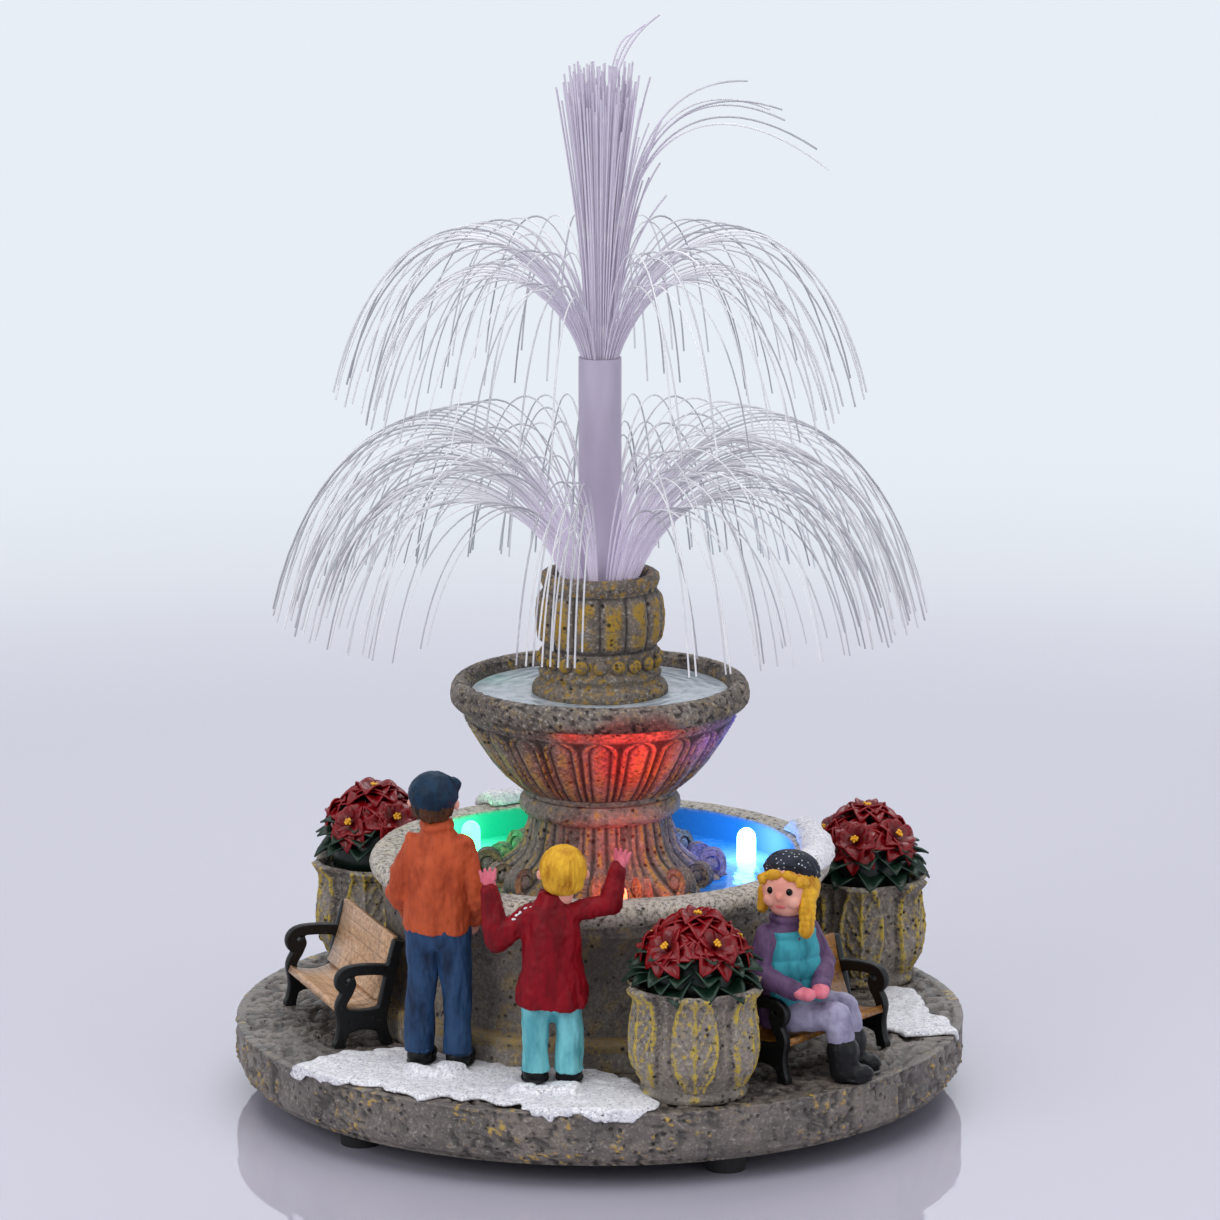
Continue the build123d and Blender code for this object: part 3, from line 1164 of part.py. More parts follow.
def bench_end():
    # The side view of one cast end: Y runs from the back leg to the front leg, then up is Z.
    front = BENCH_DEPTH / 2
    seat = BENCH_SEAT_HEIGHT - BENCH_SEAT_THICKNESS - BENCH_BAR / 2
    top_y = -front - BENCH_BACK_LEAN
    arm_z = BENCH_ARM_HEIGHT - BENCH_BAR / 2
    scroll_centre = Vector(front - BENCH_SCROLL_RADIUS, arm_z - BENCH_SCROLL_RADIUS)
    toe = BENCH_BAR / 2
    front_seat = Vector(front - toe, seat)
    back_seat = Vector(-front + toe, seat)
    back_top = Vector(top_y, BENCH_BACK_HEIGHT - toe)
    scroll_top = Vector(scroll_centre.X, arm_z)
    scroll_low = Vector(scroll_centre.X, scroll_centre.Y - BENCH_SCROLL_RADIUS)
    bars = [
        ThreePointArc(Vector(front - toe, 0), Vector(front - 2 * toe, seat / 2), front_seat),
        ThreePointArc(Vector(-front + toe, 0), Vector(-front + 2 * toe, seat / 2), back_seat),
        Line(back_seat, front_seat),
        Line(back_seat, back_top),
        Line(Vector(-front - toe, arm_z), scroll_top),
        ThreePointArc(scroll_top, Vector(front, scroll_centre.Y), scroll_low),
        Line(front_seat, scroll_low),
    ]
    view = Sketch() + [trace(bar, BENCH_BAR) for bar in bars]
    view += [Pos(*spot) * Circle(BENCH_BAR / 2) for spot in (front_seat, back_seat, scroll_low, back_top)]
    feet = Pos(0, -toe) * Rectangle(BENCH_LENGTH, BENCH_BAR)
    return extrude(Plane.YZ * (view - feet), BENCH_END_THICKNESS / 2, both=True)


def bench_ends():
    end_x = (BENCH_LENGTH - BENCH_END_THICKNESS) / 2
    return [Pos(side * end_x, 0, 0) * bench_end() for side in (-1, 1)]


def bench_board(points, thickness):
    # A bent board in side view, extruded between the two cast ends.
    path = ThreePointArc(*points)
    length = BENCH_LENGTH - 2 * BENCH_END_THICKNESS
    return extrude(Plane.YZ * trace(path, thickness), length / 2, both=True)


def bench_seat():
    front = BENCH_DEPTH / 2
    level = BENCH_SEAT_HEIGHT - BENCH_SEAT_THICKNESS / 2
    return bench_board(
        [
            Vector(-front + BENCH_BACK_THICKNESS, level),
            Vector(0, level - BENCH_SEAT_DIP),
            Vector(front, level),
        ],
        BENCH_SEAT_THICKNESS,
    )


def bench_back():
    back_top = BENCH_BACK_HEIGHT - BENCH_BACK_THICKNESS / 2
    back_low = back_top - BENCH_BACK_WIDTH
    rise = BENCH_BACK_HEIGHT - BENCH_SEAT_HEIGHT
    low_y = -BENCH_DEPTH / 2 - BENCH_BACK_LEAN * (back_low - BENCH_SEAT_HEIGHT) / rise
    top_y = -BENCH_DEPTH / 2 - BENCH_BACK_LEAN
    return bench_board(
        [
            Vector(low_y, back_low),
            Vector((low_y + top_y) / 2 - BENCH_SEAT_DIP / 2, (back_low + back_top) / 2),
            Vector(top_y, back_top),
        ],
        BENCH_BACK_THICKNESS,
    )


def bench_parts(name, gap, angle, facing):
    centre = POOL_PLINTH_RADIUS + gap + BENCH_DEPTH / 2
    def at_bench(shape):
        return place(shape, centre, angle, facing, SLAB_TOP)

    return {
        f"{name}_bench_ends": Compound([at_bench(end) for end in bench_ends()]),
        f"{name}_bench_seat": at_bench(bench_seat()),
        f"{name}_bench_back": at_bench(bench_back()),
    }


# Planters and flowers

def planter():
    mouth_floor = PLANTER_HEIGHT - PLANTER_MOUTH_DEPTH
    neck_height = PLANTER_HEIGHT - 2 * PLANTER_RIM_THICKNESS
    rim_low = PLANTER_HEIGHT - PLANTER_RIM_THICKNESS
    foot_top = profile_point(PLANTER_BASE_RADIUS, PLANTER_FOOT_HEIGHT)
    waist = profile_point(PLANTER_BASE_RADIUS - PLANTER_RIM_THICKNESS / 2, PLANTER_FOOT_HEIGHT)
    neck = profile_point(PLANTER_NECK_RADIUS, neck_height)
    flare = profile_point(PLANTER_RIM_RADIUS, rim_low)
    rim_edge = profile_point(PLANTER_RIM_RADIUS, PLANTER_HEIGHT - PLANTER_RIM_THICKNESS / 2)
    lip = profile_point((PLANTER_RIM_RADIUS + PLANTER_MOUTH_RADIUS) / 2, PLANTER_HEIGHT)
    mouth = profile_point(PLANTER_MOUTH_RADIUS, mouth_floor)
    outline = [
        Line(profile_point(0, 0), profile_point(PLANTER_BASE_RADIUS, 0)),
        Line(profile_point(PLANTER_BASE_RADIUS, 0), foot_top),
        Line(foot_top, waist),
        ThreePointArc(waist, profile_point(PLANTER_BELLY_RADIUS, PLANTER_BELLY_HEIGHT), neck),
        Line(neck, flare),
        ThreePointArc(flare, rim_edge, lip),
        Line(lip, mouth),
        Line(mouth, profile_point(0, mouth_floor)),
        Line(profile_point(0, mouth_floor), profile_point(0, 0)),
    ]
    leaf_radius = PLANTER_BELLY_RADIUS * sin(radians(180 / PLANTER_LEAF_COUNT)) - FLUTE_LAND
    leaf_depth = PLANTER_BELLY_RADIUS + PLANTER_LEAF_RELIEF - leaf_radius
    leaf = Pos(leaf_depth, 0, PLANTER_BELLY_HEIGHT) * egg(leaf_radius, PLANTER_LEAF_LENGTH / 2)
    pot = turned(*outline) + around(leaf, PLANTER_LEAF_COUNT)
    return pot - disc(PLANTER_HEIGHT, -PLANTER_HEIGHT, 0)


def flower():
    # A pointed star with a round button in the middle.
    points = []
    for index in range(2 * FLOWER_PETALS):
        share = FLOWER_WAIST_SHARE if index % 2 else 1
        points.append(on_ring(FLOWER_RADIUS * share, 180 * index / FLOWER_PETALS))
    star = extrude(make_face(Polyline(*points, close=True).edges()), FLOWER_THICKNESS)
    return star + Pos(0, 0, FLOWER_THICKNESS) * Sphere(FLOWER_BUTTON_RADIUS)


def green_leaf():
    tip = Vector(GREEN_LEAF_LENGTH, 0)
    side = Vector(GREEN_LEAF_LENGTH / 3, GREEN_LEAF_WIDTH / 2)
    edges = [
        ThreePointArc(Vector(-GREEN_LEAF_LENGTH / 3, 0), side, tip),
        ThreePointArc(tip, Vector(side.X, -side.Y), Vector(-GREEN_LEAF_LENGTH / 3, 0)),
    ]
    return extrude(make_face(edges), FLOWER_THICKNESS)


def on_dome(shape, half_width, half_height, tilt, turn):
    # Lays a flat shape on the flower dome, tilted from the vertical and turned about it.
    reach = Vector(half_width * sin(radians(tilt)), 0, half_height * cos(radians(tilt)))
    return Rot(0, 0, turn) * Pos(*reach) * Rot(0, tilt, 0) * Pos(0, 0, -FLOWER_THICKNESS / 2) * shape


def flower_cluster():
    base = PLANTER_HEIGHT - PLANTER_MOUTH_DEPTH
    half_width = PLANTER_MOUTH_RADIUS - RUNNING_GAP
    dome = egg(half_width, FLOWER_DOME_HEIGHT) & disc(half_width, 0, FLOWER_DOME_HEIGHT)
    pieces = [on_dome(flower(), half_width, FLOWER_DOME_HEIGHT, 0, 0)]
    for index in range(FLOWER_RING_COUNT):
        turn = 360 * index / FLOWER_RING_COUNT
        pieces.append(on_dome(flower(), half_width, FLOWER_DOME_HEIGHT, FLOWER_RING_TILT, turn))
    leaf_rise = Pos(0, 0, PLANTER_MOUTH_DEPTH + FLOWER_THICKNESS)
    for index in range(LEAF_RING_COUNT):
        turn = 360 * (index + 0.5) / LEAF_RING_COUNT
        lean = Pos(half_width - GREEN_LEAF_LENGTH / 3, 0, 0) * Rot(0, LEAF_RING_TILT - 90, 0) * green_leaf()
        pieces.append(leaf_rise * Rot(0, 0, turn) * lean)
    return Pos(0, 0, base) * (dome + pieces)


# Snow

def snow_patch(shares):
    # A flat heap whose upper outline draws in towards its middle.
    points = [on_ring(SLAB_RADIUS * share, angle) for angle, share in shares]
    middle = sum(points, Vector()) / len(points)
    crest = [middle + (point - middle) * SNOW_CREST_SHARE for point in points]
    ground = make_face(Spline(*points, periodic=True))
    patch = loft([ground, Pos(0, 0, SNOW_THICKNESS) * make_face(Spline(*crest, periodic=True))], ruled=True)
    pool = disc(POOL_PLINTH_RADIUS + SEAT_GAP, -CUT_OVERRUN, SNOW_THICKNESS + CUT_OVERRUN)
    pot = disc(PLANTER_BASE_RADIUS + SEAT_GAP, -CUT_OVERRUN, SNOW_THICKNESS + CUT_OVERRUN)
    for angle in (LEFT_PLANTER_ANGLE, FRONT_PLANTER_ANGLE, RIGHT_PLANTER_ANGLE):
        patch -= Pos(*on_ring(PLANTER_RING_RADIUS, angle)) * pot
    return Pos(0, 0, SLAB_TOP) * (patch - pool)


def rim_snow():
    inner = POOL_RADIUS + RIM_SNOW_OVERHANG
    outer = POOL_RIM_RADIUS + RIM_SNOW_OVERHANG
    middle = (inner + outer) / 2
    low = POOL_TOP - POOL_RIM_CROWN
    lumps = []
    for centre, spread in RIM_SNOW_LUMPS:
        crest = ThreePointArc(
            profile_point(inner, low),
            profile_point(middle, POOL_TOP + RIM_SNOW_HEIGHT),
            profile_point(outer, low),
        )
        band = make_face([crest, Line(crest @ 1, crest @ 0)])
        lump = Rot(0, 0, centre - spread / 2) * revolve(band, Axis.Z, spread)
        lumps.append(lump - pool_wall())
    return Compound([solid for lump in lumps for solid in lump.solids()])


# Figures

def head(size, shares):
    height, half_width, half_height = shares
    return Pos(0, 0, size * height) * egg(size * half_width, size * half_height)


def standing_figure(size, coat, leg, arms, mitten, skull, cover, boot):
    # Facing +Y with the soles on the ground: coat, legs, shoes, arms with hands, head and headwear.
    body = stack(size, coat)
    length, width, height = boot
    for side in (-1, 1):
        points = [Vector(side * size * x, 0, size * z) for z, x, _ in leg]
        body += limb(points, [size * radius for *_, radius in leg])
        toe = size * (length - width) / 2
        body += shoe(size * length, size * width, size * height, side * size * leg[0][1], toe, 0)
    for arm in arms:
        body += shared_limb(size, arm)
        body += hand(size, arm, size * mitten)
    return body + head(size, skull) + head(size, cover)


def adult_figure():
    figure = standing_figure(
        ADULT_HEIGHT, ADULT_COAT_SHARES, ADULT_LEG_SHARES, (ADULT_LEFT_ARM_SHARES, ADULT_RIGHT_ARM_SHARES),
        ADULT_HAND_SHARE, ADULT_HEAD_SHARES, ADULT_CAP_SHARES, ADULT_SHOE_SHARES,
    )
    radius = POOL_RIM_RADIUS + ADULT_POOL_GAP + ADULT_HEIGHT * ADULT_DEPTH_SHARE
    return place(figure, radius, ADULT_ANGLE, ADULT_FACING, SNOW_TOP)


def child_figure():
    figure = standing_figure(
        CHILD_HEIGHT, CHILD_COAT_SHARES, CHILD_LEG_SHARES, (CHILD_LEFT_ARM_SHARES, CHILD_RIGHT_ARM_SHARES),
        CHILD_HAND_SHARE, CHILD_HEAD_SHARES, CHILD_HAIR_SHARES, CHILD_SHOE_SHARES,
    )
    radius = POOL_RIM_RADIUS + CHILD_POOL_GAP + CHILD_HEIGHT * CHILD_DEPTH_SHARE
    return place(figure, radius, CHILD_ANGLE, CHILD_FACING, SNOW_TOP)


def seated_figure():
    # Sits toward one end of the right bench with its body twisted round, feet on the slab.
    size = SEATED_HEIGHT
    upper = stack(size, SEATED_COAT_SHARES)
    legs = []
    floor = -BENCH_SEAT_HEIGHT
    length, width, height = SEATED_BOOT_SHARES
    shin_x, shin_y, *_ = SEATED_SHIN_SHARES[-1]
    for side in (-1, 1):
        leg_x = side * size * SEATED_KNEE_SHARE
        legs.append(Pos(leg_x, 0, 0) * shared_limb(size, SEATED_THIGH_SHARES, side))
        legs.append(Pos(leg_x, 0, 0) * shared_limb(size, SEATED_SHIN_SHARES, side))
        boot_x = leg_x + side * size * shin_x
        boot_y = size * (shin_y + (length - width) / 2)
        legs.append(shoe(size * length, size * width, size * height, boot_x, boot_y, floor))
        upper += shared_limb(size, SEATED_ARM_SHARES, mirror=side)
        upper += hand(size, SEATED_ARM_SHARES, size * SEATED_HAND_SHARE, side)
    upper += head(size, SEATED_HEAD_SHARES)
    upper += head(size, SEATED_HAT_SHARES)
    body = Rot(0, 0, SEATED_TWIST) * upper
    for leg in legs:
        body += Rot(0, 0, SEATED_LEG_TURN) * leg
    seat_y = -BENCH_DEPTH / 2 + BENCH_BACK_THICKNESS + SEATED_BACK_GAP + size * SEATED_COAT_SHARES[0][2]
    centre = POOL_PLINTH_RADIUS + RIGHT_BENCH_GAP + BENCH_DEPTH / 2
    seated = Pos(SEATED_OFFSET, seat_y, BENCH_SEAT_HEIGHT) * body
    return place(seated, centre, RIGHT_BENCH_ANGLE, RIGHT_BENCH_FACING, SLAB_TOP)


# Every piece by its name

def all_parts():
    parts = {
        "ground_slab": ground_slab(),
        "rubber_feet": rubber_feet(),
        "bottom_cover": bottom_cover(),
        "cover_screws": cover_screws(),
        "battery_door": battery_door(),
        "batteries": batteries(),
        "battery_springs": battery_springs(),
        "battery_contacts": battery_contacts(),
        "circuit_board": circuit_board(),
        "switch_body": switch_body(),
        "switch_slider": switch_slider(),
        "wiring": wiring(),
        "pool_wall": pool_wall(),
        "pool_water": pool_water(),
        "blue_lamp": pool_lamp(BLUE_LAMP_ANGLE),
        "green_lamp": pool_lamp(GREEN_LAMP_ANGLE),
        "red_lamp": pool_lamp(RED_LAMP_ANGLE),
        "pedestal": pedestal(),
        "bowl": bowl(),
        "bowl_water": bowl_water(),
        "vase": vase(),
        "lamp_holder": lamp_holder(),
        "fibre_lamp": fibre_lamp(),
        "fibre_ferrule": fibre_ferrule(),
        "stem_sleeve": stem_sleeve(),
        "front_snow": snow_patch(FRONT_SNOW_SHARES),
        "right_snow": snow_patch(RIGHT_SNOW_SHARES),
        "rim_snow": rim_snow(),
        "adult_figure": adult_figure(),
        "child_figure": child_figure(),
        "seated_figure": seated_figure(),
    }
    parts.update(bench_parts("left", LEFT_BENCH_GAP, LEFT_BENCH_ANGLE, LEFT_BENCH_FACING))
    parts.update(bench_parts("right", RIGHT_BENCH_GAP, RIGHT_BENCH_ANGLE, RIGHT_BENCH_FACING))
    pots = {"left": LEFT_PLANTER_ANGLE, "front": FRONT_PLANTER_ANGLE, "right": RIGHT_PLANTER_ANGLE}
    pot = planter()
    cluster = flower_cluster()
    for name, angle in pots.items():
        parts[f"{name}_planter"] = place(pot, PLANTER_RING_RADIUS, angle, angle, SLAB_TOP)
        parts[f"{name}_flowers"] = place(cluster, PLANTER_RING_RADIUS, angle, angle, SLAB_TOP)
    count = 0
    for name, spray in (("lower_spray", lower_spray), ("upper_spray", upper_spray), ("top_tuft", top_tuft)):
        parts[name], strands = spray()
        count += strands
    print("strands", count)
    return parts


os.makedirs("parts", exist_ok=True)
for node, shape in all_parts().items():
    export_step(shape, f"parts/{node}.step")
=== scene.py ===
import math
import random
import bpy
import bmesh
from mathutils import Matrix, Vector, noise


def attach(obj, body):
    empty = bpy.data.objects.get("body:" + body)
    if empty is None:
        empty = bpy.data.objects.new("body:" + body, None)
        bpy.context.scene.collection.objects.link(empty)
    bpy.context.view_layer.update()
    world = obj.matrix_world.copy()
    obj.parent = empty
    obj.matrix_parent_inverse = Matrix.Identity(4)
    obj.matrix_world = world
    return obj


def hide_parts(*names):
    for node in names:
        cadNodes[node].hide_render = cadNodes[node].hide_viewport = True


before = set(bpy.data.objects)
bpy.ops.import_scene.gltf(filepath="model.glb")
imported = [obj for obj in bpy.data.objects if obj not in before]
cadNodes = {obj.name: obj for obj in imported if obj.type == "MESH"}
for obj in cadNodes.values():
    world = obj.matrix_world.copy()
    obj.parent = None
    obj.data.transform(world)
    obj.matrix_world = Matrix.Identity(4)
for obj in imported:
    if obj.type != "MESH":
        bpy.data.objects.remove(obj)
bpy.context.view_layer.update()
mm = 0.001
fullTurn = 2 * math.pi
slabTop = 20.0
white, black = (1, 1, 1, 1), (0, 0, 0, 1)
print("frame loaded with", len(cadNodes), "nodes")


# camera, floor and studio light

def addObject(name, data):
    thing = bpy.data.objects.new(name, data)
    bpy.context.scene.collection.objects.link(thing)
    return thing


cameraSettings = {"place": (0, -1.5, 0.444), "tilt": 78.05, "lens": 176.0, "sensor": 36.0, "shift": 0.0082}


def makeCamera(settings):
    data = bpy.data.cameras.new("camera")
    data.lens = settings["lens"]
    data.sensor_width = settings["sensor"]
    data.shift_x = settings["shift"]
    camera = addObject("camera", data)
    camera.location = settings["place"]
    camera.rotation_euler = (math.radians(settings["tilt"]), 0, 0)
    bpy.context.scene.camera = camera


def join(value, socket):
    if isinstance(value, Sock):
        value.tree.links.new(value.out, socket)
    else:
        socket.default_value = value


def sumOf(operation, swapped=False):
    def work(self, other):
        first, second = (other, self) if swapped else (self, other)
        return self.node("Math", {"operation": operation}, {0: first, 1: second})
    return work


class Sock:
    # one node socket that takes part in sums, and makes further nodes in its tree
    __add__, __radd__ = sumOf("ADD"), sumOf("ADD", True)
    __sub__, __rsub__ = sumOf("SUBTRACT"), sumOf("SUBTRACT", True)
    __mul__, __truediv__, __pow__ = sumOf("MULTIPLY"), sumOf("DIVIDE"), sumOf("POWER")
    atMost, atLeast = sumOf("MINIMUM"), sumOf("MAXIMUM")

    def __init__(self, tree, out=None):
        self.tree = tree
        self.out = out

    def node(self, kind, settings=None, values=None, take=0):
        made = self.tree.nodes.new("ShaderNode" + kind)
        for key, value in (settings or {}).items():
            setattr(made, key, value)
        for key, value in (values or {}).items():
            join(value, made.inputs[key])
        return Sock(self.tree, made.outputs[take])

    def between(self, low, high):
        # 0 below low, 1 above high, smooth in the middle
        values = {"Value": self, "From Min": low, "From Max": high}
        return self.node("MapRange", {"interpolation_type": "SMOOTHSTEP"}, values)

    def mix(self, factor, first, second, blend="MIX"):
        values = {0: factor, 6: first, 7: second}
        return self.node("Mix", {"data_type": "RGBA", "blend_type": blend}, values, take=2)

    def times(self, first, second):
        return self.mix(1.0, first, second, "MULTIPLY")

    def place(self):
        return self.node("TexCoord", take=3)

    def axis(self, index):
        return self.node("SeparateXYZ", {}, {0: self.place()}, take=index)

    def reach(self):
        # distance from the upright axis
        x, y = self.axis(0), self.axis(1)
        return (x * x + y * y) ** 0.5

    def mapped(self, turn=(0, 0, 0), scale=(1, 1, 1)):
        return self.node("Mapping", {}, {"Vector": self.place(), "Rotation": turn, "Scale": scale})

    def speckle(self, scale, detail=4.0, rough=0.55, at=None):
        values = {"Scale": scale, "Detail": detail, "Roughness": rough, "Vector": at or self.place()}
        return self.node("TexNoise", {}, values)

    def pits(self, scale, take=0):
        return self.node("TexVoronoi", {"feature": "F1"}, {"Scale": scale, "Vector": self.place()}, take)

    def attribute(self, name):
        return self.node("Attribute", {"attribute_name": name}, take=2)

    def nearness(self, centre, reach):
        # 1 at a point in millimetres, fading to 0 at its reach
        values = {0: self.place(), 1: tuple(mm * c for c in centre)}
        gap = self.node("VectorMath", {"operation": "DISTANCE"}, values, take=1)
        return (1 - gap / (reach * mm)).atLeast(0.0)

    def bump(self, height, strength, distance):
        return self.node("Bump", {}, {"Height": height, "Strength": strength, "Distance": distance})


def shade(red, green, blue):
    # a colour as a paint chart writes it, 0 to 255
    def linear(c):
        c = c / 255
        return c / 12.92 if c <= 0.04045 else ((c + 0.055) / 1.055) ** 2.4
    return (linear(red), linear(green), linear(blue), 1.0)


def tinted(colour, scale, lift=0.0):
    return tuple(min(1, c * scale + lift) for c in colour[:3]) + (1,)


def startFinish(name):
    material = bpy.data.materials.new(name)
    material.use_nodes = True
    tree = material.node_tree
    return material, tree.nodes["Principled BSDF"], Sock(tree)


def feed(shader, **values):
    for key, value in values.items():
        join(value, shader.inputs[key.replace("_", " ")])


floorSettings = {
    "size": 8.0,
    "near": shade(196, 192, 208),
    "far": shade(232, 238, 245),
    "fade": (0.42, 1.0),
    "roughness": 0.035,
    "mirror": 2.4,
}


def makeFloor(settings):
    bm = bmesh.new()
    bmesh.ops.create_grid(bm, x_segments=4, y_segments=4, size=settings["size"])
    mesh = bpy.data.meshes.new("floor")
    bm.to_mesh(mesh)
    bm.free()
    floor = addObject("floor", mesh)
    material, shader, sock = startFinish("studioFloor")
    gap = sock.node("VectorMath", {"operation": "LENGTH"}, {0: sock.place()}, take=1)
    far = gap.between(*settings["fade"])
    colour = sock.mix(far, settings["near"], settings["far"])
    feed(shader, Base_Color=colour, Roughness=settings["roughness"], IOR=settings["mirror"])
    seen = sock.node("LightPath", take=0).atLeast(sock.node("LightPath", take=3))
    glow = sock.node("Emission", {}, {"Color": settings["far"], "Strength": 1.0})
    body = Sock(sock.tree, shader.outputs[0])
    mixed = sock.node("MixShader", {}, {0: far * seen, 1: body, 2: glow})
    # clear from underneath, so that the underside can be looked at
    clear = sock.node("BsdfTransparent")
    mixed = sock.node("MixShader", {}, {0: sock.node("NewGeometry", take=6), 1: mixed, 2: clear})
    join(mixed, sock.tree.nodes["Material Output"].inputs[0])
    mesh.materials.append(material)


lightSettings = {
    "world": (shade(240, 243, 252), 0.42),
    "backdrop": shade(232, 238, 245),
    # name, place, what it aims at, size and power
    "softboxes": [
        ("overhead", (0.0, -0.25, 1.3), (0, 0, 0.1), 1.2, 8.5),
        ("leftFront", (-1.0, -1.0, 0.75), (0, 0, 0.1), 0.8, 7.0),
        ("rightFront", (1.1, -0.8, 0.6), (0, 0, 0.1), 0.9, 3.5),
        ("behind", (0.3, 1.3, 1.6), (0, 0, 0.15), 1.0, 9.0),
    ],
}


def makeLights(settings):
    world = bpy.data.worlds.new("studio")
    world.use_nodes = True
    tree = world.node_tree
    for old in list(tree.nodes):
        tree.nodes.remove(old)
    sock = Sock(tree)
    colour, strength = settings["world"]
    light = sock.node("Background", {}, {"Color": colour, "Strength": strength})
    drop = sock.node("Background", {}, {"Color": settings["backdrop"], "Strength": 1.0})
    seen = sock.node("LightPath", take=0)
    for take in (3, 6):
        seen = seen.atLeast(sock.node("LightPath", take=take))
    mixed = sock.node("MixShader", {}, {0: seen, 1: light, 2: drop})
    join(mixed, tree.nodes.new("ShaderNodeOutputWorld").inputs[0])
    bpy.context.scene.world = world
    for name, place, aim, size, power in settings["softboxes"]:
        data = bpy.data.lights.new(name, "AREA")
        data.energy = power
        data.size = size
        lamp = addObject(name, data)
        lamp.location = place
        lamp.rotation_euler = (Vector(aim) - Vector(place)).to_track_quat("-Z", "Y").to_euler()


makeCamera(cameraSettings)
makeFloor(floorSettings)
makeLights(lightSettings)
bpy.context.scene.view_settings.view_transform = "Standard"
print("camera, floor and lights set")


# finishes

lampPlaces = {"red": (4.4, -41.8, 61.0), "green": (-34.0, 24.7, 61.0), "blue": (38.4, 17.1, 61.0)}
stoneTones = {
    "deep": shade(50, 44, 42),
    "dark": shade(112, 104, 98),
    "mid": shade(150, 141, 132),
    "pale": shade(206, 198, 188),
    "ochre": shade(204, 166, 58),
    "pit": shade(26, 23, 22),
    "speckle": 0.6,
    "dabs": (0.4, 0.56),
    "brush": 0.85,
    "rough": 0.5,
    "shine": 0.3,
}


def glowSum(sock, spots):
    # coloured light caught near the lamps: place, reach, colour and power of each pool of it
    total = None
    for centre, reach, colour, power in spots:
        amount = sock.nearness(centre, reach) ** 2.0 * power
        part = sock.mix(amount.atMost(1.0), black, colour)
        total = part if total is None else sock.mix(1.0, total, part, "ADD")
    return total


def stoneFinish(name, own, glow=None, bands=(), inner=None, below=None):
    # bands are painted between two heights, inner is the radius inside which the stone is painted dark blue-grey and
    # carries the painted lamp light, below is where the painted lamp light ends
    tones = {**stoneTones, **own}
    material, shader, sock = startFinish(name)
    broad = sock.speckle(45.0)
    patch = sock.speckle(230.0)
    fine = sock.speckle(1000.0, rough=0.7)
    relief = sock.attribute("relief")
    colour = sock.mix(broad.between(0.35, 0.65), tones["dark"], tones["mid"])
    colour = sock.mix(fine.between(0.52, 0.68) * tones["speckle"], colour, tones["pale"])
    colour = sock.mix((1 - fine.between(0.3, 0.45)) * 0.75, colour, tones["deep"])
    # painted shade: the low, carved-in parts are darkened towards the deep tone
    colour = sock.mix((1 - relief.between(0.05, 0.45)) * 0.8, colour, tones["deep"])
    dabs = fine.between(0.36, 0.52) * patch.between(*tones["dabs"])
    colour = sock.mix(relief.between(0.5, 0.9) * dabs * tones["brush"], colour, tones["ochre"])
    for low, high, tone, amount in bands:
        height = sock.axis(2)
        rise = height.between((low - 0.8) * mm, low * mm) * (1 - height.between(high * mm, (high + 0.8) * mm))
        colour = sock.mix(rise * fine.between(0.34, 0.6) * amount, colour, tone)
    hole = (1 - sock.pits(470.0).between(0.1, 0.32)) * patch.between(0.44, 0.56)
    colour = sock.mix(hole * 0.9, colour, tones["pit"])
    if inner:
        inside = 1 - sock.reach().between(inner * mm, (inner + 0.8) * mm)
        colour = sock.mix(inside, colour, shade(40, 58, 66))
    # painted light of the lamps, given as emission
    if glow:
        light = glowSum(sock, glow)
        if inner:
            light = sock.mix(inside, black, light)
        else:
            # the base colour is reddened where the red lamp's painted light falls
            redLampLight = sock.node("SeparateColor", {}, {0: light}, take=0).between(0.1, 0.8)
            colour = sock.mix(redLampLight * 0.8, colour, sock.times(colour, shade(240, 110, 110)))
            # painted shade on the painted light: dimmer in the low, carved-in parts
            carved = sock.mix(relief.between(0.0, 0.75), shade(120, 100, 110), white)
            speck = sock.mix(fine.between(0.3, 0.6), shade(140, 120, 112), white)
            light = sock.times(light, sock.times(carved, speck))
        if below:
            light = sock.mix(sock.axis(2).between((below - 0.4) * mm, (below + 0.4) * mm), light, black)
        feed(shader, Emission_Color=light, Emission_Strength=1.2 if inner else 0.8)
    height = fine * 0.8 - hole * 1.2 + patch * 0.5
    feed(shader, Base_Color=colour, Roughness=tones["rough"] + fine * 0.3, Specular_IOR_Level=tones["shine"])
    feed(shader, Normal=sock.bump(height, 0.8, 0.0007))
    return material


def paintFinish(name, colour, shadow, grain=0.5, roughness=0.42, frost=None):
    material, shader, sock = startFinish(name)
    strokes = sock.speckle(260.0, 4.0, 0.6, sock.mapped(scale=(1.0, 1.0, 0.35)))
    mottle = sock.speckle(120.0, 3.0)
    tone = sock.mix(strokes.between(0.3, 0.62), shadow, colour)
    tone = sock.mix(mottle.between(0.55, 0.8) * 0.35, tone, tinted(colour, 1.35))
    if frost:
        spots = 1 - sock.pits(frost).between(0.12, 0.25)
        tone = sock.mix(spots * 0.8, tone, shade(225, 228, 235))
    feed(shader, Base_Color=tone, Roughness=roughness + strokes * 0.16, Specular_IOR_Level=0.18)
    feed(shader, Normal=sock.bump(strokes * 0.7 + mottle * 0.3, grain, 0.0004))
    return material


def mouldedFinish(name, colour, roughness=0.5, metallic=0.0):
    material, shader, sock = startFinish(name)
    fine = sock.speckle(900.0, 3.0)
    tone = sock.mix(sock.speckle(70.0, 3.0).between(0.35, 0.7), colour, tinted(colour, 1.25, 0.008))
    feed(shader, Base_Color=tone, Roughness=roughness + fine * 0.14, Metallic=metallic)
    feed(shader, Normal=sock.bump(fine, 0.25, 0.0002))
    return material


